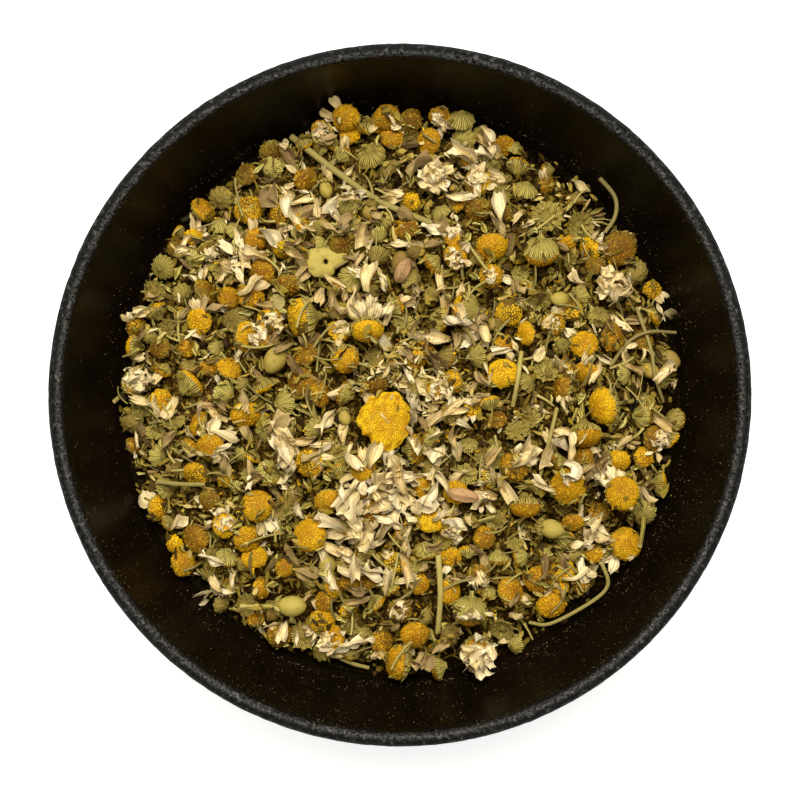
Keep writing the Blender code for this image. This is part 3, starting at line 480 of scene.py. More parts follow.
def husk_finish():
    """Papery husks and pods, tan to pink."""
    f = Finish("dry_husks")
    tone, along = f.attribute("tone"), f.attribute("along")
    mottle = f.grain(0.9, 3.0)
    colour = f.ramp(tone + (mottle - 0.5) * 0.4, [
        (0.0, 92, 72, 40), (0.35, 140, 118, 70), (0.7, 178, 150, 94),
        (1.0, 196, 154, 108)])
    colour = f.mix(f.span(along, 0.75, 1.0, 0.0, 0.6), colour, paint(96, 70, 34))
    wrinkles = f.grain(0.7, 4.0, stretch=(0.4, 1.0, 1.0))
    colour = f.mix(f.span(wrinkles, 0.5, 0.66, 0.0, 0.4), colour, paint(84, 56, 28))
    return f.done(Base_Color=colour, Roughness=0.62 + mottle * 0.2,
                  Normal=f.bump(wrinkles, 0.3, 1.0), Specular_IOR_Level=0.3)


def dust_finish():
    """Pollen and floret dust on the bowl's wall."""
    f = Finish("pollen_dust")
    colour = f.ramp(f.attribute("tone"), [
        (0.0, 84, 64, 40), (0.6, 134, 112, 74), (1.0, 196, 174, 122)])
    return f.done(Base_Color=colour, Roughness=0.8 + f.grain(0.3) * 0.1)


def floor_finish():
    """A plain floor that shows almost white."""
    f = Finish("pale_floor")
    return f.done(Base_Color=(0.7, 0.7, 0.7, 1.0), Roughness=0.9, Emission_Color=(1, 1, 1, 1),
                  Emission_Strength=0.75)


# Shapes

class Shape:
    """Triangles with three values at each point, which its finish reads: tone is its age or
    colour, shade varies across it, and along runs from its root to its tip."""

    def __init__(self, points, faces, tone, shade, along):
        self.points = points
        self.faces = faces
        self.tone = tone
        self.shade = shade
        self.along = along

    def placed(self, matrix, tone=None):
        rows = np.array(matrix)
        points = self.points @ rows[:3, :3].T + rows[:3, 3]
        tones = self.tone if tone is None else np.full(len(points), float(tone))
        return Shape(points, self.faces, tones, self.shade, self.along)

    def warped(self, amount, size, seed):
        """The shape with a slow wave through it, so that no two copies are alike."""
        turns = np.array(((1.0, 0.7, 0.4), (0.5, -1.0, 0.8), (-0.6, 0.5, 1.0)))
        waves = np.sin(self.points @ turns.T / size + np.array((seed, seed * 1.7, seed * 2.9)))
        return Shape(self.points + waves * amount, self.faces, self.tone, self.shade, self.along)


def joined(shapes):
    """Many shapes as one."""
    start = 0
    faces = []
    for shape in shapes:
        faces.append(shape.faces + start)
        start += len(shape.points)
    values = [np.concatenate([getattr(shape, key) for shape in shapes]) for key in ("tone", "shade", "along")]
    return Shape(np.vstack([shape.points for shape in shapes]), np.vstack(faces), *values)


def taken(bm, tone=0.5, shade=None, along=None):
    """The triangles of a bmesh. shade and along are rules that turn its points into values."""
    bmesh.ops.triangulate(bm, faces=bm.faces)
    bm.verts.index_update()
    points = np.array([vert.co[:] for vert in bm.verts])
    faces = np.array([[vert.index for vert in face.verts] for face in bm.faces])
    bm.free()
    same = np.ones(len(points))
    return Shape(points, faces, same * tone, shade(points) if shade else same * 0.5,
                 along(points) if along else same * 0.5)


def spun(profile, sides, holed=False):
    """A closed body turned about Z from (radius, height) points. Both ends lie on the axis, or
    for a holed body the last point leads back to the first."""
    bm = bmesh.new()
    verts = [bm.verts.new((radius, 0.0, height)) for radius, height in profile]
    edges = [bm.edges.new(pair) for pair in zip(verts, verts[1:] + verts[:1] if holed else verts[1:])]
    bmesh.ops.spin(bm, geom=verts + edges, cent=(0, 0, 0), axis=(0, 0, 1), angle=math.tau,
                   steps=sides, use_merge=True)
    bmesh.ops.remove_doubles(bm, verts=bm.verts, dist=1e-4)
    bmesh.ops.recalc_face_normals(bm, faces=bm.faces)
    return bm


def pebble(seed):
    """A small uneven crumb about two units long."""
    bm = bmesh.new()
    bmesh.ops.create_icosphere(bm, subdivisions=1, radius=1.0)
    for vert in bm.verts:
        vert.co *= 1.0 + 0.45 * noise.noise(vert.co * 1.3 + Vector((seed * 7.1, 0, 0)))
    return taken(bm)


def granule_shape():
    """One floret's head: a rounded grain, its root at -1 and its tip at 1."""
    bm = bmesh.new()
    bmesh.ops.create_uvsphere(bm, u_segments=6, v_segments=2, radius=1.0)
    for vert in bm.verts:
        if abs(vert.co.z) < 0.5:
            vert.co.z = 0.35
    return taken(bm, along=lambda p: np.clip(0.5 + 0.5 * p[:, 2], 0, 1))


def speck_shape():
    """The smallest grain of dust."""
    bm = bmesh.new()
    bmesh.ops.create_uvsphere(bm, u_segments=4, v_segments=2, radius=1.0)
    return taken(bm)


def sheet_shape(long_steps, cross_steps):
    """A thin closed sheet from (0, -1) to (1, 1), which petals and bracts are bent from."""
    bm = bmesh.new()
    bmesh.ops.create_grid(bm, x_segments=long_steps, y_segments=cross_steps, size=1.0)
    bmesh.ops.transform(bm, matrix=Matrix.Translation((0.5, 0, 0)) @ Matrix.Diagonal((0.5, 1, 1, 1)),
                        verts=bm.verts)
    bmesh.ops.triangulate(bm, faces=bm.faces)
    bmesh.ops.solidify(bm, geom=bm.verts[:] + bm.edges[:] + bm.faces[:], thickness=SHEET_STEP)
    bmesh.ops.recalc_face_normals(bm, faces=bm.faces)
    return taken(bm)


def rod_shape(sections, sides):
    """A closed rod of radius 1 from z = 0 to z = 1, cut across into sections."""
    bm = bmesh.new()
    bmesh.ops.create_cone(bm, segments=sides, radius1=1.0, radius2=1.0, depth=1.0, cap_ends=True,
                          matrix=Matrix.Translation((0, 0, 0.5)))
    for cut in range(1, sections):
        bmesh.ops.bisect_plane(bm, geom=bm.verts[:] + bm.edges[:] + bm.faces[:],
                               plane_co=(0, 0, cut / sections), plane_no=(0, 0, 1))
    return taken(bm)


def scaled(profile, across, up):
    """A profile given in shares, at its real size."""
    return [(reach * across, height * up) for reach, height in profile]


GRANULE = granule_shape()
SPECK = speck_shape()
PEBBLES = [pebble(seed) for seed in range(8)]
PETAL_SHEET = sheet_shape(6, 4)
SCALE_SHEET = sheet_shape(3, 2)
TIP_SHEET = sheet_shape(2, 1)
SHRED_SHEET = sheet_shape(3, 1)
SPECK_ROD = rod_shape(1, 5)
FINE_ROD = rod_shape(5, 5)
STEM_ROD = rod_shape(10, 8)
LONG_ROD = rod_shape(36, 10)


def bent_sheet(sheet, length, width, lift, rng, tone, cup=0.35, waves=0.5, twist=0.5, point=0.5,
               bow=0.0, teeth=0.0, pleats=0.0):
    """A petal or bract along +X from the origin: narrow at its root, cupped, twisted and wrinkled."""
    u, v = sheet.points[:, 0], sheet.points[:, 1]
    thick = sheet.points[:, 2] / SHEET_STEP * SHEET_THICKNESS
    half = width / 2 * (0.34 + 0.66 * np.sin(np.minimum(1.0, u * 1.35) * math.pi / 2))
    half = half * (1 - point * np.clip((u - 0.72) / 0.28, 0, 1) ** 2)
    phase = [rng.uniform(0, math.tau) for _ in range(4)]
    across = v * half * (1 + 0.12 * np.sin(u * 7 + phase[0]))
    curl = rng.uniform(-0.4, 1.0) * cup
    rise = np.abs(v) ** 1.6 * half * curl * 2.0
    rise = rise + waves * width * 0.16 * np.sin(u * rng.uniform(4, 8) + v * 2.0 + phase[1])
    rise = rise + waves * width * 0.07 * np.sin(v * 5.0 + phase[2]) * np.sin(u * math.pi)
    rise = rise + pleats * width * np.cos(v * math.tau) * np.minimum(1.0, u * 3)
    rise = rise + thick
    turn = twist * rng.uniform(-1.4, 1.4) * u
    y = across * np.cos(turn) - rise * np.sin(turn)
    z = across * np.sin(turn) + rise * np.cos(turn)
    droop = lift * np.sin(math.pi * 0.75 * u)
    x = u * length * (1 - 0.06 * np.abs(v)) + 0.12 * width * np.sin(v * 4 + phase[3]) * u
    x = x + teeth * length * np.cos(v * math.tau) * u ** 6
    y = y + bow * rng.uniform(-1.0, 1.0) * length * u * u
    droop = droop + bow * rng.uniform(-0.6, 1.0) * length * u * u
    points = np.stack((x, y, z + droop), axis=1)
    same = np.full(len(points), float(tone))
    return Shape(points, sheet.faces, same, 0.5 + 0.5 * v, u)


def along_line(rod, line, radius, tone, taper=0.0, ridges=0.12):
    """A rod laid along a line of points, with shallow ridges."""
    count = len(line) - 1
    u = rod.points[:, 2] * count
    index = np.minimum(u.astype(int), count - 1)
    part = (u - index)[:, None]
    line = np.array([point[:] for point in line])
    headings = np.gradient(line, axis=0)
    headings /= np.linalg.norm(headings, axis=1)[:, None] + 1e-9
    side = np.cross(headings, np.array((0.02, 0.03, 1.0)))
    side /= np.linalg.norm(side, axis=1)[:, None] + 1e-9
    up = np.cross(headings, side)
    middle = line[index] * (1 - part) + line[index + 1] * part
    sides = side[index] * (1 - part) + side[index + 1] * part
    ups = up[index] * (1 - part) + up[index + 1] * part
    angle = np.arctan2(rod.points[:, 1], rod.points[:, 0])
    ridge = np.cos(angle * 5)
    size = radius * (1 - taper * rod.points[:, 2]) * (1 + ridges * ridge)
    points = middle + (sides * rod.points[:, :1] + ups * rod.points[:, 1:2]) * size[:, None]
    return Shape(points, rod.faces, np.full(len(points), float(tone)), 0.5 + 0.5 * ridge,
                 rod.points[:, 2].copy())


def florets_on(radius, rise, floor, tone, rng, pitch, bald=None):
    """Florets that stand side by side over a dome, set out as a sunflower's seeds are."""
    area = math.pi * radius * (radius + 0.8 * rise)
    count = int(area / (pitch * pitch * 0.9))
    grains = []
    phase = rng.uniform(0, math.tau)
    for index in range(count):
        share = (index + 0.5) / count
        climb = math.asin(1 - share)
        turn = index * GOLDEN_ANGLE + rng.uniform(-0.3, 0.3) * pitch / (0.4 + radius * math.cos(climb))
        if bald is not None and math.cos(turn - bald) > 0.35 + rng.uniform(0, 0.4) and share > 0.35:
            continue
        out = radius * math.cos(climb) ** 0.8
        place = Vector((out * math.cos(turn), out * math.sin(turn), floor + rise * math.sin(climb)))
        flat = math.cos(climb) / radius
        normal = Vector((flat * math.cos(turn), flat * math.sin(turn), math.sin(climb) / max(rise, 0.3)))
        normal += Vector((rng.uniform(-1, 1), rng.uniform(-1, 1), rng.uniform(-1, 1))) * 0.06
        size = pitch * rng.uniform(0.46, 0.76) * (0.8 + 0.25 * share)
        tall = size * rng.uniform(0.7, 1.25)
        where = Matrix.Translation(place) @ normal.to_track_quat("Z", "Y").to_matrix().to_4x4()
        where = where @ Matrix.Diagonal((size, size, tall, 1.0))
        older = 0.16 * max(0.0, share - 0.55) + 0.07 * math.sin(turn + phase)
        grain = GRANULE.placed(where, tone + rng.uniform(-0.05, 0.05) - older)
        grain.shade = np.full(len(grain.points), rng.random())
        grains.append(grain)
    return grains


def disc_shape(width, rise, tone, rng, pitch, floor=GAP / 2, bald=None):
    """The yellow disc: a dome with florets standing on it and a flat underside."""
    radius = width / 2
    profile = [(0.0, floor)]
    for degrees in (0, 18, 36, 54, 72):
        angle = math.radians(degrees)
        profile.append((radius * 0.98 * math.cos(angle) ** 0.8, floor + rise * 0.98 * math.sin(angle)))
    profile.append((0.0, floor + rise * 0.98))
    # The dome has along 0, so its finish gives it the painted shade that lies between the florets.
    dome = taken(spun(profile, 16), 0.2 if bald is not None else tone, along=lambda p: p[:, 0] * 0)
    return joined([dome] + florets_on(radius * 0.95, rise * 0.95, floor, tone, rng, pitch, bald))


def ribbed(profile, ribs, depth, tone, low, high, across=2):
    """A turned body with ribs; along runs from its low height to its high one."""
    sides = ribs * across
    bm = spun(profile, sides)
    crests = {}
    for vert in bm.verts:
        spoke = round(math.atan2(vert.co.y, vert.co.x) / math.tau * sides)
        reach = math.hypot(vert.co.x, vert.co.y)
        crest = 1.0 if spoke % across == 0 else 0.0
        share = min(1.0, max(0.0, (vert.co.z - low) / (high - low)))
        if reach > 0.12 * profile[len(profile) // 2][0]:
            vert.co.xy *= 1.0 - depth * (1 - crest) * min(1.0, share * 2.5 + 0.2)
        crests[vert] = crest
    bm.verts.index_update()
    values = np.array([crests[vert] for vert in bm.verts])
    return taken(bm, tone, shade=lambda p: values,
                 along=lambda p: np.clip((p[:, 2] - low) / (high - low), 0, 1))


def bract_ring(radius, height, count, tone, rng, length=2.0, width=1.3, splay=60.0, up=True):
    """A ring of free bract tips round a cup's lip."""
    ring = []
    for index in range(count):
        angle = math.tau * (index + rng.uniform(-0.25, 0.25)) / count
        scale = bent_sheet(TIP_SHEET, length * rng.uniform(0.8, 1.15), width * rng.uniform(0.8, 1.1),
                           0.15, rng, tone + rng.uniform(-0.12, 0.12), cup=0.5, waves=0.2, twist=0.15,
                           point=0.75)
        rise = -math.radians(splay + rng.uniform(-14, 14)) * (1 if up else -1)
        where = Matrix.Rotation(angle, 4, "Z") @ Matrix.Translation((radius, 0, height))
        ring.append(scale.placed(where @ Matrix.Rotation(rise, 4, "Y")))
    return ring


def cup_shape(width, tone, rng, ribs, top=-GAP / 2, tips=True):
    """The green cup of bracts under a disc, ribbed, with the stub of the stalk."""
    radius = width / 2
    depth = 0.42 * width
    stub = 0.11 * width
    profile = [(0.0, top - depth), (stub * 0.8, top - depth), (stub, top - depth * 0.95),
               (stub * 1.15, top - depth * 0.8), (stub * 1.7, top - depth * 0.7),
               (radius * 0.5, top - depth * 0.62), (radius * 0.68, top - depth * 0.5),
               (radius * 0.86, top - depth * 0.34), (radius * 0.97, top - depth * 0.14),
               (radius * 0.99, top), (radius * 0.90, top + 0.05), (0.0, top)]
    body = ribbed(profile, ribs, 0.11, tone, top - depth * 0.8, top)
    body.points[:, 2] = np.minimum(body.points[:, 2], top + 0.1)
    if not tips:
        return [body]
    outer = bract_ring(radius * 0.80, top - depth * 0.42, ribs // 2 + 2, tone, rng, radius * 0.55,
                       radius * 0.36, splay=56)
    inner = bract_ring(radius * 0.93, top - depth * 0.15, ribs // 2 + 3, tone + 0.08, rng,
                       radius * 0.34, radius * 0.30, splay=78)
    return [body] + outer + inner


def egg_shape(width, tone, rng):
    """A bare receptacle: a smooth egg in a ribbed collar."""
    radius = width / 2
    profile = [(0.0, -0.8), (0.62, -0.78), (0.74, -0.6), (0.88, -0.35), (0.98, -0.1), (1.0, 0.1),
               (0.95, 0.33), (0.84, 0.56), (0.66, 0.77), (0.42, 0.94), (0.18, 1.03), (0.0, 1.05)]
    egg = taken(spun(scaled(profile, radius * 0.86, radius * 1.2), 20), tone - 0.1,
                shade=lambda p: 0.92 + 0.08 * np.cos(np.arctan2(p[:, 1], p[:, 0]) * 7) *
                np.clip(-p[:, 2] / radius + 0.2, 0, 1), along=lambda p: p[:, 2] * 0 + 0.4)
    collar = [(0.0, -1.25), (0.2, -1.25), (0.24, -1.16), (0.5, -1.08), (0.72, -0.95), (0.84, -0.78),
              (0.80, -0.68), (0.64, -0.70), (0.0, -0.72)]
    ribs = ribbed(scaled(collar, radius, radius * 1.15), 14, 0.12, tone, -1.3 * radius, -0.7 * radius)
    tips = bract_ring(radius * 0.78, -0.95 * radius, 11, tone + 0.1, rng, radius * 0.5, radius * 0.4, 50)
    return [egg.warped(0.12, 2.0, rng.uniform(0, 9)), ribs] + tips


def rosette_shape(width, tone, rng, ribs):
    """An empty ring of bracts, spread like a ribbed dish."""
    radius = width / 2
    profile = [(0.0, -0.55), (0.16, -0.55), (0.34, -0.48), (0.62, -0.32), (0.86, -0.14), (0.98, 0.02),
               (0.97, 0.14), (0.86, 0.08), (0.60, -0.04), (0.36, -0.06), (0.22, 0.04), (0.0, 0.08)]
    dish = ribbed(scaled(profile, radius, radius), ribs, 0.10, tone, -0.55 * radius, 0.3 * radius)
    outer = bract_ring(radius * 0.72, -0.10 * radius, ribs // 2 + 4, tone + 0.05, rng, radius * 0.5,
                       radius * 0.30, 26)
    inner = bract_ring(radius * 0.40, 0.0, ribs // 2, tone + 0.12, rng, radius * 0.42, radius * 0.26, 42)
    return [dish.warped(0.1, 2.5, rng.uniform(0, 9))] + outer + inner


def flake_shape(width, tone, rng, pitch):
    """A large flattened disc of florets with an uneven edge."""
    radius = width / 2
    profile = [(0.0, -0.16), (0.5, -0.15), (0.8, -0.13), (0.98, 0.0), (0.9, 0.15), (0.62, 0.23),
               (0.3, 0.27), (0.0, 0.28)]
    # The base has along 0, so its finish gives it the painted shade that lies between the florets.
    base = taken(spun(scaled(profile, radius, radius), 28), tone, along=lambda p: p[:, 0] * 0)
    made = joined([base] + florets_on(radius * 0.95, radius * 0.28, 0.0, tone, rng, pitch))
    angle = np.arctan2(made.points[:, 1], made.points[:, 0])
    out = np.hypot(made.points[:, 0], made.points[:, 1]) / radius
    ragged = (0.05 * np.sin(2 * angle + 0.6) + 0.05 * np.sin(3 * angle + 2.0) + 0.035 * np.sin(7 * angle)
              + 0.03 * np.sin(12 * angle + 1.0))
    bite = 0.16 * np.exp(-((np.cos(angle - 2.9) - 1) / 0.02) ** 2)
    made.points[:, :2] *= (1.0 + (ragged - bite) * out)[:, None]
    lumps = np.sin(made.points[:, 0] * 1.7 + 0.8) * np.sin(made.points[:, 1] * 1.4) + np.sin(
        made.points[:, 0] * 0.8 - made.points[:, 1] * 2.3)
    made.points[:, 2] += 0.5 * np.sin(angle * 3 + 1.0) * out ** 2 + 0.22 * lumps
    made.tone = made.tone + 0.09 * lumps - 0.10 * np.exp(-((out - 0.55) / 0.12) ** 2) * np.sin(angle * 2)
    return made


def button_shape(width, tone, rng, ribs, depth_top=0.25):
    """A head seen from below: a ribbed button with the scar of its stalk."""
    radius = width / 2
    top = depth_top * width
    depth = 0.42 * width
    stub = 0.11 * width
    profile = [(0.0, top - depth), (stub * 0.6, top - depth + 0.1), (stub, top - depth),
               (stub * 1.2, top - depth * 0.88), (stub * 1.8, top - depth * 0.76),
               (radius * 0.55, top - depth * 0.62), (radius * 0.75, top - depth * 0.5),
               (radius * 0.92, top - depth * 0.30), (radius * 0.99, top - depth * 0.1),
               (radius * 0.92, top), (radius * 0.5, top + 0.05), (0.0, top)]
    body = ribbed(profile, ribs, 0.11, tone, top - depth * 0.9, top)
    outer = bract_ring(radius * 0.50, top - depth * 0.66, ribs // 2 + 1, tone, rng, radius * 0.55,
                       radius * 0.34, 38)
    inner = bract_ring(radius * 0.80, top - depth * 0.42, ribs // 2 + 3, tone + 0.08, rng,
                       radius * 0.42, radius * 0.32, 64)
    return [body] + outer + inner


def lean(facing, tilt):
    """The turn that takes a head from upright to its lean."""
    return (Matrix.Rotation(math.radians(facing), 4, "Z")
            @ Matrix.Rotation(math.radians(tilt), 4, "Y"))


def inner_radius(height):
    """The bowl's inside radius at a height."""
    depth = (BOWL_HEIGHT - height) / INNER_DEPTH
    return (RIM_RADIUS - RIM_WIDTH) * math.sqrt(max(0.0, 1.0 - max(0.0, depth) ** WALL_CURVE))


def outer_radius(height):
    """The bowl's outside radius at a height."""
    depth = (BOWL_HEIGHT - RIM_WIDTH / 2 - height) / BOWL_HEIGHT
    return RIM_RADIUS * math.sqrt(max(0.0, 1.0 - max(0.0, depth) ** WALL_CURVE))


def heap_height(x, y):
    """The height of the heap's core at a place in plan, before the heads press nests into it."""
    radius = math.hypot(x, y) / HEAP_EDGE_RADIUS
    crown = HEAP_CROWN * (1.0 - min(1.15, radius) ** HEAP_ROUNDNESS)
    lumps = noise.noise(Vector((x / LUMP_SIZE, y / LUMP_SIZE, 0.5)))
    return HEAP_EDGE_HEIGHT + crown + HEAP_LUMP * lumps


def nest_depth(x, y):
    """How far the loose heads press the core down at a place."""
    deepest = 0.0
    for head in LOOSE_HEADS:
        reach = head.width * 0.5 + 2.5
        distance = math.hypot(x - head.x, y - head.y)
        if distance < reach:
            fall = 0.5 + 0.5 * math.cos(math.pi * distance / reach)
            deepest = max(deepest, NEST * head.width * fall)
    return deepest


def clear_of_heads(x, y, margin):
    """Whether a place in plan lies at least a margin outside every loose head."""
    return all(math.hypot(x - head.x, y - head.y) > head.width * 0.5 + margin for head in LOOSE_HEADS)


def clear_of_packed_heads(x, y, share=0.5):
    """Whether a place lies outside a share of every packed head's width."""
    return all(math.hypot(x - row[0], y - row[1]) > row[2] * share for row in PACKED_HEADS)


def near_a_stalk(x, y, margin):
    """Whether a place in plan lies closer than a margin to one of the loose stalks."""
    spot = Vector((x, y))
    for *_, plan in STALKS:
        for first, last in zip(plan, plan[1:]):
            on_line, share = intersect_point_line(spot, Vector(first), Vector(last))
            nearest = Vector(first).lerp(Vector(last), min(1.0, max(0.0, share)))
            if (spot - nearest).length < margin:
                return True
    return False


def scattered_places(rng, count, margin):
    """The part's own seeded places for its larger loose petals and bits."""
    places = []
    tries = 0
    while len(places) < count and tries < SCATTER_TRIES:
        tries += 1
        radius = SCATTER_RADIUS * math.sqrt(rng.random())
        angle = rng.uniform(0, math.tau)
        x, y = radius * math.cos(angle), radius * math.sin(angle)
        if not clear_of_heads(x, y, margin) or not clear_of_packed_heads(x, y):
            continue
        if all(math.hypot(x - other[0], y - other[1]) > SCATTER_SPACING for other in places):
            places.append((x, y))
    return places


# The bowl

def bowl_shape():
    """Foot ring, swelling outside, rounded pitted rim and smooth inside, in one closed skin."""
    rim = RIM_WIDTH / 2
    rim_height = BOWL_HEIGHT - rim
    foot_inner = FOOT_RADIUS - FOOT_WIDTH
    profile = [(0.0, FOOT_RECESS), (foot_inner - 1.6, FOOT_RECESS), (foot_inner - 0.7, FOOT_RECESS - 0.4),
               (foot_inner, 0.35), (foot_inner + 0.5, 0.0), (FOOT_RADIUS - 0.5, 0.0), (FOOT_RADIUS, 0.4),
               (FOOT_RADIUS, 2.4), (FOOT_RADIUS + 0.15, 4.0)]
    profile += [(outer_radius(height), height) for height in
                [4.6 + (rim_height - 4.6) * (step / OUTER_STEPS) ** 1.25 for step in range(OUTER_STEPS)]]
    for step in range(RIM_STEPS + 1):
        angle = math.pi * step / RIM_STEPS
        profile.append((RIM_RADIUS - rim + rim * math.cos(angle), rim_height + rim * math.sin(angle)))
    for step in range(1, INNER_STEPS):
        angle = math.pi / 2 * step / INNER_STEPS
        height = rim_height - (rim_height - 6.3) * math.sin(angle) ** 1.4
        profile.append((inner_radius(height), height))
    profile.append((0.0, BOWL_HEIGHT - INNER_DEPTH))
    bm = spun(profile, BOWL_SIDES)
    inner_line = RIM_RADIUS - RIM_WIDTH
    # Where the painted highlight lies along the rim's inner edge, and how wide it is.
    painted_highlight_line = RIM_RADIUS - RIM_WIDTH * 0.74
    painted_highlight_width = 0.55
    painted_highlight = []
    smooth = []
    for vert in bm.verts:
        reach = math.hypot(vert.co.x, vert.co.y)
        painted_highlight.append(math.exp(-((reach - painted_highlight_line) / painted_highlight_width) ** 2) if vert.co.z > rim_height else 0.0)
        inside = vert.co.z > FOOT_RECESS + 0.1 and reach < inner_line + 0.02 and (
            vert.co.z > rim_height or reach < outer_radius(vert.co.z) - 1.5)
        smooth.append(min(1.0, (inner_line + 0.3 - reach) * 2.0) if inside else 0.0)
        if not inside and vert.co.z > 0.6 and reach > FOOT_RADIUS - 1:
            rough = noise.noise(vert.co * 0.62) * 0.5 + noise.noise(vert.co * 1.4) * 0.5
            dent = 0.16 * (rough - 0.45) + 0.05 * noise.noise(vert.co * 0.09)
            out = Vector((vert.co.x / reach, vert.co.y / reach, 0.0))
            if vert.co.z > rim_height:
                level = (vert.co.z - rim_height) / rim
                out = out * math.sqrt(max(0.0, 1 - level * level)) * (1 if reach > RIM_RADIUS - rim else -1)
                out.z = level
            vert.co += out * min(0.0, dent)
    return taken(bm, shade=lambda p: np.array(painted_highlight), along=lambda p: np.array(smooth))


bowl = bowl_shape()


# The heap's core

def core_shape():
    """Crumbs pressed together: tone is how near the top they lie, and a low tone becomes painted shade in its
    finish.
    """
    edge_height = HEAP_EDGE_HEIGHT
    edge_radius = inner_radius(edge_height) - WALL_CLEARANCE
    profile = [(0.0, BOWL_HEIGHT - INNER_DEPTH + 1.2)]
    profile += [(inner_radius(height) - 0.4, height + WALL_CLEARANCE) for height in (7.2, 9.5, 14.5, 23.0)]
    profile += [(edge_radius, edge_height)]
    profile += [(edge_radius * ring / CORE_RINGS, 60.0) for ring in range(CORE_RINGS - 1, -1, -1)]
    bm = spun(profile, CORE_SIDES)
    tones = []
    for vert in bm.verts:
        if vert.co.z > edge_height + 1.0:
            x, y = vert.co.x, vert.co.y
            at = Vector((x, y, 3.0))
            relief = 1.3 * noise.noise(at * 0.42) + 0.9 * noise.noise(at * 1.1)
            out = math.hypot(x, y)
            ragged = 61.5 + 3.0 * noise.noise(Vector((x / 9.0, y / 9.0, 8.0)))
            beyond = max(0.0, out - ragged)
            falling = 0.35 * beyond + 0.04 * beyond ** 2
            vert.co.z = heap_height(x, y) - nest_depth(x, y) + relief - 0.9 - falling
            # A low tone, in the hollows and beyond the ragged edge, becomes painted shade in the finish.
            tones.append(0.24 + 0.25 * relief - 0.09 * beyond)
        else:
            tones.append(0.0)
    shape = taken(bm)
    shape.tone = np.clip(tones, 0.0, 0.3)
    return shape


core = core_shape()


# Heads

def head_petals(head, rng):
    """The petals of a head as the part's source sets them, in the head's own plane."""
    count, middle, spread = head.petals
    radius = head.width / 2
    for index in range(count):
        across = middle - spread / 2 + spread * (index + 0.5) / count
        across += rng.uniform(-6, 6)
        length = head.width * rng.uniform(0.55, 0.8)
        width = head.width * rng.uniform(0.26, 0.34)
        turn = Matrix.Rotation(math.radians(across), 4, "Z")
        if head.form == "petalled":
            start = Matrix.Translation((radius * 0.45, 0, radius * 0.1))
            rise = Matrix.Rotation(math.radians(-rng.uniform(15, 75)), 4, "Y")
        else:
            start = Matrix.Translation((radius * 0.62, 0, -radius * 0.38))
            rise = Matrix.Rotation(math.radians(rng.uniform(12, 48)), 4, "Y")
        yield turn @ start @ rise, length, width, rng.uniform(0.4, 1.2)


def stem_shape(head, turn, tone):
    """The stalk left on a head: it leaves the cup along the axis and droops to the side."""
    depth = {"egg": 0.6, "button": 0.1}.get(head.form, 0.3) * head.width
    back = (turn @ Vector((0, 0, -1))).normalized()
    point = back * depth
    level = Vector((back.x, back.y, -0.05)).normalized()
    points = [point.copy()]
    for step in range(5):
        heading = back.lerp(level, min(1.0, step / 2.0)).normalized()
        point = point + heading * ((head.stem + 0.12 * head.width) / 5)
        points.append(point.copy())
    return along_line(STEM_ROD, points, 0.5, tone, ridges=0.1)


def placed_all(shapes, matrix):
    """Every shape of a list, moved by the same matrix."""
    return [shape.placed(matrix) for shape in shapes]


def crumpled_crown(width, rng, count):
    """Cream petals that have shrivelled in over their disc."""
    made = []
    for index in range(count):
        angle = math.tau * (index + rng.uniform(-0.4, 0.4)) / count
        reach = width * rng.uniform(0.26, 0.46)
        fold = math.radians(-rng.uniform(80, 160))
        where = Matrix.Rotation(angle, 4, "Z")
        where = where @ Matrix.Translation((reach, 0, width * rng.uniform(-0.04, 0.16)))
        where = where @ Matrix.Rotation(fold, 4, "Y") @ Matrix.Rotation(rng.uniform(-0.5, 0.5), 4, "X")
        petal = bent_sheet(PETAL_SHEET, width * rng.uniform(0.42, 0.72), width * rng.uniform(0.40, 0.62),
                           0.3, rng, rng.uniform(0.0, 0.35), cup=0.5, waves=1.0, twist=0.5, point=0.1,
                           bow=0.25, teeth=0.06, pleats=0.10)
        made.append(petal.placed(where))
    return made


def extra_petals(head, rng, count, placements):
    """More shrivelled petals between those that the part has."""
    made = []
    if head.form == "petalled":
        return crumpled_crown(head.width * 1.05, rng, 2 * count)
    for _ in range(count):
        place, length, width, lift = placements[rng.randrange(len(placements))]
        turn = Matrix.Rotation(math.radians(rng.uniform(-24, 24)), 4, "Z")
        tip = Matrix.Rotation(math.radians(rng.uniform(-20, 20)), 4, "Y")
        made.append(bent_sheet(PETAL_SHEET, length * rng.uniform(0.7, 1.05), width * rng.uniform(0.7, 1.1),
                               lift, rng, rng.uniform(0.05, 0.55), waves=0.9, twist=0.8)
                    .placed(turn @ place @ tip))
    return made


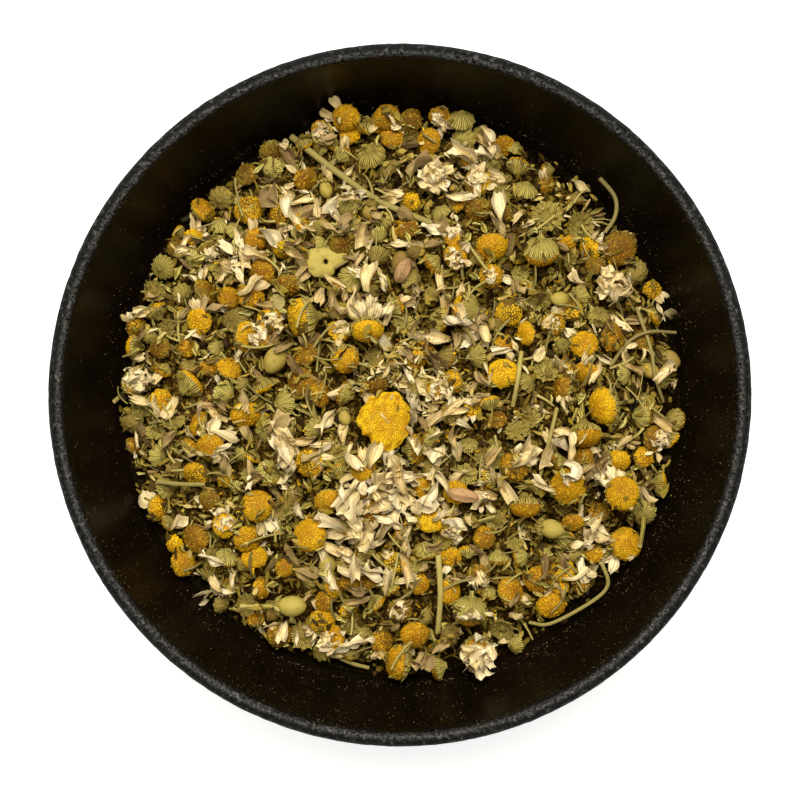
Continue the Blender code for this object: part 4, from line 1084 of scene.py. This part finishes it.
def loose_head(head, source, rng):
    """A fine head about its own origin: {part: shape}."""
    turn = lean(head.facing, head.tilt)
    ribs = 16 if head.width > 6 else 13
    green = rng.uniform(0.35, 0.75)
    petals = []
    if head.petals:
        placements = list(head_petals(head, source))
        reach = 0.72 if head.form == "petalled" else 1.0
        for place, length, width, lift in placements:
            petal = bent_sheet(PETAL_SHEET, length * reach, width * 1.15, lift, rng, rng.uniform(0.0, 0.4),
                               waves=1.0, point=0.15, bow=0.2, teeth=0.05, pleats=0.08)
            petals.append(petal.placed(place))
        more = 7 if head.form == "petalled" else 2
        petals += extra_petals(head, rng, more, placements)
    stem = [stem_shape(head, turn, green)] if head.stem else []
    made = {}
    if head.form in ("dome", "cone"):
        rise = head.width * (0.36 if head.form == "dome" else 0.72)
        bald = rng.uniform(0, math.tau) if head.name == "side_head_b" else None
        made["_disc"] = [disc_shape(head.width, rise, head.tone, rng, LOOSE_PITCH, bald=bald)]
        made["_cup"] = cup_shape(head.width, green, rng, ribs)
    elif head.form == "petalled":
        made[""] = cup_shape(head.width * 0.94, green, rng, ribs)
        made["_florets"] = [disc_shape(head.width * 0.8, head.width * 0.3, head.tone, rng, LOOSE_PITCH,
                                       floor=-0.6)]
    elif head.form == "button":
        made[""] = button_shape(head.width, head.tone + 0.15, rng, ribs)
    elif head.form == "egg":
        made[""] = egg_shape(head.width, head.tone, rng)
    elif head.form == "rosette":
        made[""] = rosette_shape(head.width, head.tone, rng, ribs)
    else:
        made[""] = [flake_shape(head.width, head.tone, rng, LOOSE_PITCH)]
    made = {part: placed_all(shapes, turn) for part, shapes in made.items()}
    if petals:
        made["_petals"] = placed_all(petals, turn)
    if stem:
        made["_cup" if "_cup" in made else ""] += stem
    return {part: joined(shapes).warped(0.10, 1.8, rng.uniform(0, 20)) for part, shapes in made.items()}


def packed_head(row, rng, sunk=0.20, pitch=PACKED_PITCH):
    """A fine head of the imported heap, in its place: {kind: shapes}."""
    x, y, width, form, facing, tilt, tone = row
    place = Matrix.Translation((x, y, heap_height(x, y) + sunk * width)) @ lean(facing, tilt)
    ribs = 11 if width > 5.6 else 9
    green = rng.uniform(0.25, 0.75)
    made = {"disc": [], "cup": [], "petal": []}
    if form in ("dome", "petalled"):
        bald = rng.uniform(0, math.tau) if rng.random() < 0.2 else None
        rise = width * rng.uniform(0.30, 0.42)
        made["disc"].append(disc_shape(width, rise, tone, rng, pitch, floor=0.0, bald=bald))
        made["cup"] += cup_shape(width, green, rng, ribs, top=0.0, tips=width > 4.8)
        count = rng.choice((0, 0, 0, 2, 3)) if form == "dome" else 2
        if form == "petalled" or rng.random() < 0.08:
            made["petal"] += crumpled_crown(width, rng, 11)
        middle = rng.uniform(0, math.tau)
        for _ in range(count):
            angle = middle + rng.uniform(-1.0, 1.0) * (1.0 if form == "dome" else math.pi)
            petal = bent_sheet(PETAL_SHEET, width * rng.uniform(0.5, 0.8), width * rng.uniform(0.24, 0.36),
                               rng.uniform(0.3, 1.2), rng, rng.uniform(0.05, 0.55), waves=0.9)
            rise = rng.uniform(-70, -10) if form == "petalled" else rng.uniform(-30, 40)
            where = Matrix.Rotation(angle, 4, "Z") @ Matrix.Translation((width * 0.3, 0, 0.0))
            made["petal"].append(petal.placed(where @ Matrix.Rotation(math.radians(rise), 4, "Y")))
    elif form == "button":
        made["cup"] += button_shape(width, tone + rng.uniform(0, 0.25), rng, ribs, depth_top=0.16)
        if tilt < 125:
            made["disc"].append(disc_shape(width * 0.9, width * 0.2, rng.uniform(0.4, 0.8), rng, pitch,
                                           floor=width * 0.16))
    elif form == "egg":
        made["cup"] += egg_shape(width * 0.8, tone, rng)
    elif form == "rosette":
        made["cup"] += rosette_shape(width, tone, rng, ribs)
    else:
        made["cup"] += pierced_flake(width, rng)
    seed = rng.uniform(0, 20)
    return {kind: [joined(placed_all(shapes, place)).warped(0.14, 1.6, seed)] if shapes else []
            for kind, shapes in made.items()}


def pierced_flake(width, rng):
    """A flat pale green piece with a hole, left of a receptacle."""
    section = [(0.07, 0.03), (0.10, -0.02), (0.24, -0.06), (0.38, -0.08), (0.52, -0.03), (0.55, 0.02),
               (0.50, 0.07), (0.36, 0.10), (0.22, 0.11), (0.10, 0.08)]
    flake = taken(spun(scaled(section, width, width), 26, holed=True), shade=lambda p: p[:, 0] * 0 + 0.97)
    angle = np.arctan2(flake.points[:, 1], flake.points[:, 0])
    out = np.hypot(flake.points[:, 0], flake.points[:, 1]) / width
    ragged = 1.0 + (0.30 * np.sin(2 * angle + 0.9) + 0.22 * np.sin(3 * angle) + 0.10 * np.sin(5 * angle + 1)
                    + 0.05 * np.sin(11 * angle)) * out
    flake.points[:, :2] *= ragged[:, None]
    flake.points[:, 2] += (0.9 * np.sin(angle * 2 + 1.2) + 0.5 * np.sin(angle * 5)) * out ** 2
    return [flake.warped(0.25, 1.4, 2.0)]


loose_pieces = {}
# The first draws as the part's source does, so that the same pieces come out in the same places.
source = random.Random(HEAP_SEED)
rng = random.Random(SCENE_SEED)

cad_petals = []
for x, y in scattered_places(source, PART_PETALS, margin=2.5):
    length, width, lift = source.uniform(5.0, 7.0), source.uniform(1.9, 2.7), source.uniform(0.5, 1.4)
    turn = Matrix.Rotation(source.uniform(0, math.tau), 4, "Z")
    turn = turn @ Matrix.Rotation(math.radians(-source.uniform(14, 34)), 4, "Y")
    turn = turn @ Matrix.Rotation(math.radians(source.uniform(-35, 35)), 4, "X")
    place = Matrix.Translation((x, y, heap_height(x, y) - 0.6)) @ turn
    cad_petals.append((place, length, width, lift))
cad_bits = []
for x, y in scattered_places(source, PART_BITS, margin=3.0):
    half, angle = source.uniform(2.0, 4.5), source.uniform(0, math.tau)
    rise, radius = source.uniform(0.05, 0.4), source.uniform(0.4, 0.6)
    reach = Vector((math.cos(angle) * half, math.sin(angle) * half, rise * half))
    middle = Vector((x, y, heap_height(x, y) + 0.35))
    cad_bits.append((middle - reach, middle + reach, radius))

# What the small pieces can lie on
support = [core]
for head in LOOSE_HEADS:
    parts = loose_head(head, source, rng)
    main = "_disc" if "_disc" in parts else ""
    low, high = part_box(head.name + main)
    heights = parts[main].points[:, 2]
    rest = (low[2] + high[2]) / 2 / MM - (heights.min() + heights.max()) / 2
    if head.form == "petalled":
        rest = low[2] / MM - min(parts[part].points[:, 2].min() for part in ("", "_florets"))
    move = Matrix.Translation((head.x, head.y, rest))
    for part, shape in parts.items():
        loose_pieces[head.name + part] = shape.placed(move)
        if part != "_petals":
            support.append(loose_pieces[head.name + part])

packed = {"disc": [], "cup": [], "petal": []}
for row in PACKED_HEADS:
    if clear_of_heads(row[0], row[1], 0.0):
        for kind, shapes in packed_head(row, rng).items():
            packed[kind] += shapes

# Smaller heads fill the spaces between, mostly seen from below or from the side.
fillers = []
tries = 0
while len(fillers) < SMALL_HEADS and tries < SMALL_HEAD_TRIES:
    tries += 1
    radius = SMALL_HEAD_EDGE * math.sqrt(rng.random())
    angle = rng.uniform(0, math.tau)
    x, y = radius * math.cos(angle), radius * math.sin(angle)
    width = rng.uniform(4.2, 7.0)
    if not clear_of_heads(x, y, width * 0.36) or near_a_stalk(x, y, width * 0.42 + 0.3):
        continue
    others = [(row[0], row[1], row[2]) for row in PACKED_HEADS] + fillers
    if any(math.hypot(x - a, y - b) < 0.37 * (width + w) for a, b, w in others):
        continue
    fillers.append((x, y, width))
    form = rng.choices(("dome", "button", "rosette", "egg"), (34, 48, 12, 6))[0]
    tone = rng.uniform(0.3, 0.85) if form == "dome" else rng.uniform(0.15, 0.6)
    tilt = rng.uniform(10, 80) if form == "dome" else rng.uniform(90, 165)
    if form == "rosette":
        tilt = rng.uniform(0, 50)
    row = (x, y, width, form, rng.uniform(0, 360), tilt, tone)
    for kind, shapes in packed_head(row, rng, sunk=rng.uniform(0.08, 0.30), pitch=SMALL_PITCH).items():
        packed[kind] += shapes
for *row, lift in EDGE_HEADS:
    for kind, shapes in packed_head(row, rng).items():
        packed[kind] += [shape.placed(Matrix.Translation((0, 0, lift))) for shape in shapes]
support += packed["disc"] + packed["cup"]


# What lies on the heap

# Husks that show singly: x, y, length, width, heading in degrees, tone.
HUSKS = [
    (14.5, -23.3, 8.0, 4.2, 172, 1.0), (0.8, 29.0, 6.5, 5.0, 60, 0.95),
    (-61.0, -9.5, 7.0, 3.0, 120, 0.2), (-29.5, 13.5, 6.0, 3.2, 50, 0.4),
    (-6.0, -33.5, 5.5, 2.6, 130, 0.5), (-25.5, -38.0, 6.5, 2.4, 300, 0.5),
    (1.5, 42.5, 5.0, 4.2, 330, 0.45), (26.0, 35.5, 6.5, 3.4, 80, 0.25),
]
# A small round knob that shows between the petals, in plan.
KNOB = (8.9, -36.9)


def husk_shape(length, width, tone, rng):
    """A closed pod with pointed ends along +X, wrinkled lengthwise."""
    profile = [(0.0, 0.0), (0.22, 0.05), (0.36, 0.16), (0.47, 0.34), (0.5, 0.55), (0.42, 0.76),
               (0.24, 0.92), (0.10, 0.98), (0.0, 1.0)]
    bm = spun(scaled(profile, width, length), 12)
    for vert in bm.verts:
        angle = math.atan2(vert.co.y, vert.co.x)
        vert.co.xy *= 1.0 + 0.09 * math.cos(angle * 6) + 0.10 * noise.noise(vert.co * 0.9)
        vert.co.y *= 0.72
    pod = taken(bm, tone, along=lambda p: np.clip(p[:, 2] / length, 0, 1))
    pod = pod.warped(0.18, 1.8, rng.uniform(0, 20))
    return pod.placed(Matrix.Rotation(math.radians(90), 4, "Y"))


class Ground:
    """The top of everything placed so far."""

    def __init__(self, shapes):
        whole = joined(shapes)
        self.tree = BVHTree.FromPolygons(whole.points.tolist(), whole.faces.tolist())

    def height(self, x, y, miss=20.0):
        hit = self.tree.ray_cast(Vector((x, y, 90.0)), Vector((0, 0, -1)))
        return hit[0].z if hit[0] else miss

    def slope_place(self, x, y, angle, length, rise=0.0, roll=0.0):
        """A matrix that lays a piece along +X from its middle, on what lies below its ends."""
        ends = []
        for side in (-0.5, 0.0, 0.5):
            dx, dy = math.cos(angle) * length * side, math.sin(angle) * length * side
            ends.append(self.height(x + dx, y + dy))
        pitch = max(-0.9, min(0.9, math.atan2(ends[2] - ends[0], length)))
        height = max(ends[1], (ends[0] + ends[2]) / 2) + rise
        return (Matrix.Translation((x, y, height)) @ Matrix.Rotation(angle, 4, "Z")
                @ Matrix.Rotation(-pitch, 4, "Y") @ Matrix.Rotation(roll, 4, "X")
                @ Matrix.Translation((-length / 2, 0, 0)))


def inside_bowl(shape, clearance=0.25):
    """Draw in whatever would reach into the bowl's wall."""
    reach = np.hypot(shape.points[:, 0], shape.points[:, 1])
    depth = np.clip((BOWL_HEIGHT - shape.points[:, 2]) / INNER_DEPTH, 0, 1)
    limit = (RIM_RADIUS - RIM_WIDTH) * np.sqrt(1 - depth ** WALL_CURVE) - clearance
    factor = np.minimum(1.0, limit / np.maximum(reach, 1e-6))
    shape.points[:, :2] *= factor[:, None]
    return shape


def heap_place(edge):
    """A seeded place on the heap, whose edge is uneven."""
    while True:
        radius = edge * math.sqrt(rng.random())
        angle = rng.uniform(0, math.tau)
        x, y = radius * math.cos(angle), radius * math.sin(angle)
        wander = 3.5 * noise.noise(Vector((math.cos(angle) * 2.2, math.sin(angle) * 2.2, 4.0)))
        if radius < edge - 2.5 + wander:
            return x, y


# Flat pieces that the petals leave in sight: x, y, radius and the share of small pieces kept off.
IN_SIGHT = [
    (-17.5, 31.5, 4.6, 1.0), (-3.5, -6.0, 8.4, 0.88), (14.5, -23.3, 4.5, 0.9), (0.8, 29.0, 3.8, 0.9),
    (-26.0, -50.0, 5.5, 0.8), (35.5, -31.5, 4.5, 0.8), (-29.0, 8.5, 4.5, 0.8),
]


def on_a_head(x, y, share):
    """Whether a place lies on a loose head, or within a share of a packed head's width."""
    return not clear_of_heads(x, y, -0.6) or not clear_of_packed_heads(x, y, share)


def crowded(x, y, share, chance):
    """Whether a small piece would hide a head. A few are let through, since some do lie on heads."""
    if any(math.hypot(x - a, y - b) < reach and rng.random() < kept_off
           for a, b, reach, kept_off in IN_SIGHT):
        return True
    if near_a_stalk(x, y, 1.4) and rng.random() < 0.85:
        return True
    if on_a_head(x, y, share) and rng.random() < chance:
        return True
    on_filler = any(math.hypot(x - a, y - b) < 0.42 * w for a, b, w in fillers)
    return on_filler and rng.random() < 0.9 * chance - 0.1


def free_places(count, edge, share, chance):
    """Places on the heap where a small piece may lie, each drawn when it is asked for."""
    for _ in range(count):
        x, y = heap_place(edge)
        if not crowded(x, y, share, chance):
            yield x, y


def laid(x, y, length, rise, roll):
    """Lay a piece at a random heading. Its rise and roll are drawn from ranges."""
    return ground.slope_place(x, y, rng.uniform(0, math.tau), length, rng.uniform(*rise), rng.uniform(*roll))


def shred(x, y, longest, rise, widths, lowest, tone):
    """A torn and curled strip, with a rule that draws its tone."""
    length = rng.uniform(1.4, longest)
    place = laid(x, y, length, rise, roll=(-1, 1))
    return bent_sheet(SHRED_SHEET, length, rng.uniform(*widths), rng.uniform(lowest, 0.9), rng, tone(),
                      cup=0.5, waves=0.8, twist=1.4).placed(place)


crumbs, scales, petals, bits, florets = [], [], [], [], []
ground = Ground(support)

for x, y in free_places(CRUMBS, edge=69.5, share=0.48, chance=0.92):
    size = rng.uniform(0.25, 0.9)
    long = size * rng.uniform(1.0, 2.6)
    where = Matrix.Translation((x, y, ground.height(x, y) + size * rng.uniform(-0.1, 0.7)))
    where = where @ Matrix.Rotation(rng.uniform(0, math.tau), 4, "Z")
    where = where @ Matrix.Rotation(rng.uniform(-0.7, 0.7), 4, "Y")
    where = where @ Matrix.Diagonal((long, size, size * rng.uniform(0.35, 0.8), 1.0))
    pick, tone = rng.randrange(8), min(0.95, max(0.02, rng.gauss(0.45, 0.22)))
    # A dark crumb would look like a hole in a yellow disc.
    if tone < 0.42 and on_a_head(x, y, 0.42):
        continue
    crumbs.append(PEBBLES[pick].placed(where, tone))

ground = Ground(support + crumbs)

for x, y in free_places(SHREDS, edge=69.0, share=0.48, chance=0.92):
    crumbs.append(shred(x, y, longest=4.2, rise=(0.0, 0.9), widths=(0.45, 1.1), lowest=-0.5,
                        tone=lambda: min(0.98, max(0.1, rng.gauss(0.6, 0.22)))))

for x, y in free_places(BRACT_SCALES, edge=67.5, share=0.46, chance=0.9):
    length = rng.uniform(1.6, 4.2)
    place = laid(x, y, length, rise=(0.0, 0.8), roll=(-1, 1))
    scale = bent_sheet(SCALE_SHEET, length, length * rng.uniform(0.28, 0.5), rng.uniform(-0.4, 0.8), rng,
                       rng.uniform(0.0, 1.0), cup=0.9, waves=0.8, twist=0.9, point=0.8)
    scales.append(scale.placed(place))

QUARTERS = (0.0, 0.25, 0.5, 0.75, 1.0)
for x, y in free_places(STALK_BITS, edge=68.0, share=0.5, chance=0.7):
    length = rng.uniform(2.5, 9.0)
    place = ground.slope_place(x, y, rng.uniform(0, math.tau), length, 0.3)
    bow = rng.uniform(-0.12, 0.12) * length
    line = [place @ Vector((length * t, bow * math.sin(math.pi * t), 0.5 * math.sin(math.pi * t)))
            for t in QUARTERS]
    bits.append(along_line(FINE_ROD, line, rng.uniform(0.16, 0.42), rng.uniform(0.1, 0.9), taper=0.25))
for first, last, radius in cad_bits:
    line = [first.lerp(last, t) for t in QUARTERS]
    bits.append(along_line(STEM_ROD, line, radius, rng.uniform(0.3, 0.9)))

husks = []
for x, y, length, width, angle, tone in HUSKS:
    husks.append(husk_shape(length, width, tone, rng)
                 .placed(ground.slope_place(x, y, math.radians(angle), length, width * 0.3)))
for _ in range(SMALL_HUSKS):
    x, y = heap_place(66.0)
    if on_a_head(x, y, 0.5):
        continue
    length = rng.uniform(2.4, 5.0)
    husks.append(husk_shape(length, length * rng.uniform(0.34, 0.55), rng.uniform(0.0, 0.9), rng)
                 .placed(ground.slope_place(x, y, rng.uniform(0, math.tau), length, 0.3)))
husks.append(PEBBLES[3].placed(Matrix.Translation((*KNOB, ground.height(*KNOB) + 1.2))
                               @ Matrix.Diagonal((1.5, 1.2, 1.0, 1.0)), 0.6))

for place, length, width, lift in cad_petals:
    petals.append(bent_sheet(PETAL_SHEET, length, width, lift, rng, rng.uniform(0.1, 0.75), waves=1.1,
                             twist=0.8, point=0.2, bow=0.15, teeth=0.05, pleats=0.07).placed(place))

ground = Ground(support + crumbs + scales + bits)

for x, y in free_places(LOOSE_FLORETS, edge=66.5, share=0.42, chance=0.9):
    length = rng.uniform(0.7, 1.6)
    place = ground.slope_place(x, y, rng.uniform(0, math.tau), length, 0.1)
    line = [place @ Vector((length * t, 0, 0.1 * math.sin(math.pi * t))) for t in (0.0, 0.5, 1.0)]
    florets.append(along_line(SPECK_ROD, line, rng.uniform(0.12, 0.24), rng.uniform(0.55, 1.0), taper=-0.4))
# The middle of the heap is strewn with pale shreds.
for _ in range(PALE_SHREDS):
    x, y = rng.gauss(0.5, 7.5), rng.gauss(4.0, 5.5)
    if not crowded(x, y, share=0.42, chance=0.9):
        crumbs.append(shred(x, y, longest=3.6, rise=(0.1, 0.8), widths=(0.4, 0.9), lowest=-0.4,
                            tone=lambda: rng.uniform(0.72, 1.0)))

# Petals lie thickest below and left of the middle, and by the places where heads have shed them.
# Each drift is its middle in plan, its spread and its number of petals.
PETAL_DRIFTS = [
    (-4.0, -14.0, 7.0, 60), (-2.0, -24.0, 8.0, 75), (8.0, -5.0, 6.0, 30), (-8.0, -33.0, 6.0, 35),
    (-24.0, 40.0, 5.0, 26), (-24.0, -11.0, 4.0, 22), (-18.0, 49.0, 4.0, 16), (-8.0, 26.0, 6.0, 24),
    (18.0, 12.0, 5.0, 22), (46.0, -17.0, 4.0, 14), (49.0, 8.0, 4.0, 12), (19.0, 52.0, 5.0, 18),
    (-42.0, -10.0, 4.0, 18), (-30.0, -58.0, 4.0, 10), (-44.0, -45.0, 3.0, 7), (45.0, -36.0, 4.0, 12),
    (24.0, -20.0, 4.0, 12), (35.0, -13.0, 4.0, 10), (-56.0, 33.0, 4.0, 9), (-60.0, -2.0, 3.0, 7),
    (-36.0, 32.0, 5.0, 16), (10.0, 22.0, 5.0, 14), (60.0, 8.0, 3.0, 8), (14.0, -26.0, 5.0, 14),
]
# Petals that stick out at the heap's edge.
EDGE_PETALS = [
    (-18.5, 64.5), (-17.0, 62.5), (-21.8, 62.8), (9.8, 67.6), (12.4, 68.2), (11.0, 64.5), (46.5, 41.0),
    (48.0, 38.5), (20.4, 61.5), (-43.7, -44.8), (-42.8, -47.0), (-27.8, -56.6), (-24.5, -58.2),
    (-30.5, -54.5), (65.5, 17.0), (64.0, 19.5), (-14.5, -60.5), (-12.0, -58.0), (-62.0, 9.0),
    (54.5, -38.5), (52.0, -41.0), (-47.5, 41.0), (-58.5, 23.5), (26.0, -58.5),
]
# How old a petal looks, from 0, cream, to 1, brown
DRIFT_AGE = 0.14
EDGE_AGE = 0.15
STRAY_AGE = 0.55


def petal_fits(x, y, age):
    """Whether a petal may lie here. Stray ones are kept off the heads more strictly."""
    return math.hypot(x, y) <= 67 and not crowded(x, y, 0.62, 0.93 if age == STRAY_AGE else 0.75)


def shrivelled_petal(x, y, age):
    """A loose petal, which is older in the upper left part of the heap."""
    length = rng.uniform(3.4, 7.0)
    place = laid(x, y, length, rise=(0.1, 0.6), roll=(-0.9, 0.9))
    if x < -18 and y > 4:
        age += 0.2
    return bent_sheet(PETAL_SHEET, length, length * rng.uniform(0.26, 0.54), rng.uniform(-0.6, 1.0), rng,
                      min(1.0, abs(rng.gauss(age, 0.26))), cup=1.3, waves=1.6, twist=1.2, point=0.12,
                      bow=0.28, teeth=0.06, pleats=0.10).placed(place)


places = [(rng.gauss(a, spread), rng.gauss(b, spread), DRIFT_AGE)
          for a, b, spread, count in PETAL_DRIFTS for _ in range(count)]
places += [(*heap_place(68.0), STRAY_AGE) for _ in range(STRAY_PETALS)]
rng.shuffle(places)
for layer in (places[::2], places[1::2]):
    petals += [shrivelled_petal(x, y, age) for x, y, age in layer if petal_fits(x, y, age)]
    ground = Ground(support + crumbs + scales + bits + petals)
petals += [shrivelled_petal(x, y, EDGE_AGE) for x, y in EDGE_PETALS]


# Stalks

def stalk_shape(name, radius, tone, plan):
    """A fine stalk along the line that the part's own stalk takes."""
    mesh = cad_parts[name].data
    tree = BVHTree.FromPolygons([vert.co / MM for vert in mesh.vertices],
                                [face.vertices[:] for face in mesh.polygons])
    ends = [Vector((*point, 0.0)) for point in plan]
    ends = [ends[0] * 2 - ends[1]] + ends + [ends[-1] * 2 - ends[-2]]
    line = []
    count = 4 * len(plan) + 1
    for step in range(count):
        place = step / (count - 1) * (len(plan) - 1)
        index = min(int(place), len(plan) - 2)
        t = place - index
        a, b, c, d = ends[index:index + 4]
        point = (b * 2 + (c - a) * t + (a * 2 - b * 5 + c * 4 - d) * t * t
                 + (b * 3 - a - c * 3 + d) * t * t * t) * 0.5
        near = tree.find_nearest(Vector((point.x, point.y, 90.0)))[0]
        over = tree.ray_cast(Vector((point.x, point.y, 90.0)), Vector((0, 0, -1)))[0]
        height = (over or near).z - radius
        line.append(Vector((point.x, point.y, height)))
    for _ in range(2):
        for index in range(1, len(line) - 1):
            line[index].z = (line[index - 1].z + 2 * line[index].z + line[index + 1].z) / 4
    return along_line(LONG_ROD, line, radius, tone, taper=0.12, ridges=0.13)


# Dust on the wall

dust = []
while len(dust) < DUST_SPECKS:
    angle = rng.uniform(0, math.tau)
    height = 33.0 + 24.0 * rng.random() ** 1.8
    lower_right = max(0.0, math.cos(angle + 1.1))
    if rng.random() > 0.45 + 0.55 * lower_right:
        continue
    radius = inner_radius(height) - 0.03
    size = rng.uniform(0.04, 0.11) * (1.3 if height < 37 else 1.0)
    where = Matrix.Translation((radius * math.cos(angle), radius * math.sin(angle), height))
    dust.append(SPECK.placed(where @ Matrix.Diagonal((size, size, size, 1.0)), rng.random()))


# Finished pieces

FINISHES = {"bowl": stoneware(), "disc": floret_finish(), "cup": bract_finish(), "petal": petal_finish(),
            "stalk": stalk_finish(), "crumb": crumb_finish(), "dust": dust_finish(),
            "packed": packed_finish(), "husk": husk_finish()}


def finished(name, shape, finish, nodes, sharp=40.0):
    """Make a named object in metres, which rides on the body and stands for some of the part's nodes."""
    mesh = bpy.data.meshes.new(name)
    mesh.from_pydata((shape.points * MM).tolist(), [], shape.faces.tolist())
    for key in ("tone", "shade", "along"):
        values = np.asarray(getattr(shape, key), dtype=np.float32)
        mesh.attributes.new(key, "FLOAT", "POINT").data.foreach_set("value", values)
    mesh.shade_smooth()
    mesh.set_sharp_from_angle(angle=math.radians(sharp))
    mesh.materials.append(FINISHES[finish])
    piece = bpy.data.objects.new(name, mesh)
    bpy.context.scene.collection.objects.link(piece)
    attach(piece, "root")
    if nodes:
        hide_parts(*nodes)


def in_sectors(name, shapes, finish, count):
    """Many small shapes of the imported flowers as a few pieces, one for each sector of the heap."""
    groups = [[] for _ in range(count)]
    for shape in shapes:
        middle = shape.points.mean(axis=0)
        angle = math.atan2(middle[1], middle[0]) % math.tau
        groups[int(angle / math.tau * count) % count].append(shape)
    for index, group in enumerate(groups):
        if group:
            finished(f"{name}_{index + 1}", inside_bowl(joined(group)), finish, ["packed_flowers"])


finished("bowl_wall", bowl, "bowl", ["bowl"], sharp=60.0)
finished("heap_core", core, "packed", ["packed_flowers"], sharp=30.0)
in_sectors("packed_discs", packed["disc"], "disc", 8)
in_sectors("packed_cups", packed["cup"], "cup", 8)
in_sectors("packed_head_petals", packed["petal"], "petal", 4)
in_sectors("crumbs", crumbs, "crumb", 6)
in_sectors("bract_scales", scales, "cup", 6)
in_sectors("stalk_bits", bits, "stalk", 4)
in_sectors("husks", husks, "husk", 2)
in_sectors("loose_florets", florets, "disc", 4)
in_sectors("loose_petals", petals, "petal", 8)
finished("wall_dust", joined(dust), "dust", [])

PART_FINISHES = {"_disc": "disc", "_cup": "cup", "": "cup", "_florets": "disc", "_petals": "petal"}
for head in LOOSE_HEADS:
    nodes = [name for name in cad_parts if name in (head.name, head.name + "_disc", head.name + "_cup")]
    for part, finish in PART_FINISHES.items():
        name = head.name + part
        if name in loose_pieces:
            stands_for = [name] if name in nodes else nodes[-1:]
            finished("fine_" + name, inside_bowl(loose_pieces[name]),
                     "disc" if head.form == "flake" else finish, stands_for)

for name, radius, tone, plan in STALKS:
    finished("fine_" + name, stalk_shape(name, radius, tone, plan), "stalk", [name])


# Floor, light and camera, in metres

FLOOR_SIZE = 12.0
WORLD_COLOUR = (1.0, 0.96, 0.88, 1.0)
WORLD_STRENGTH = 0.16
LENS = 79.5
CAMERA_PLACE = (0.0, -0.00114, 0.458)
LIGHT_COLOUR = (1.0, 0.94, 0.83)
# Each light's name, place, size and power
LIGHTS = [("key", (0.03, 0.55, 1.25), 0.7, 23.5), ("fill", (-0.7, 0.1, 1.2), 0.8, 3.0)]


def stage():
    """A wide pale floor, two soft lights and a camera that looks straight down."""
    bm = bmesh.new()
    bmesh.ops.create_grid(bm, x_segments=1, y_segments=1, size=FLOOR_SIZE)
    mesh = bpy.data.meshes.new("pale_floor")
    bm.to_mesh(mesh)
    bm.free()
    mesh.materials.append(floor_finish())
    floor = bpy.data.objects.new("pale_floor", mesh)
    bpy.context.scene.collection.objects.link(floor)
    world = bpy.data.worlds.new("studio")
    world.use_nodes = True
    background = world.node_tree.nodes["Background"]
    background.inputs["Color"].default_value = WORLD_COLOUR
    background.inputs["Strength"].default_value = WORLD_STRENGTH
    bpy.context.scene.world = world
    for name, place, size, power in LIGHTS:
        light = bpy.data.lights.new(name, "AREA")
        light.size = size
        light.energy = power
        light.color = LIGHT_COLOUR
        lamp = bpy.data.objects.new(name, light)
        lamp.location = place
        lamp.rotation_euler = (-Vector(place)).to_track_quat("-Z", "Y").to_euler()
        bpy.context.scene.collection.objects.link(lamp)
    lens = bpy.data.cameras.new("camera")
    lens.lens = LENS
    lens.sensor_width = 36.0
    lens.clip_start = 0.01
    camera = bpy.data.objects.new("camera", lens)
    camera.location = CAMERA_PLACE
    bpy.context.scene.collection.objects.link(camera)
    bpy.context.scene.camera = camera
    bpy.context.scene.view_settings.view_transform = "Standard"


stage()
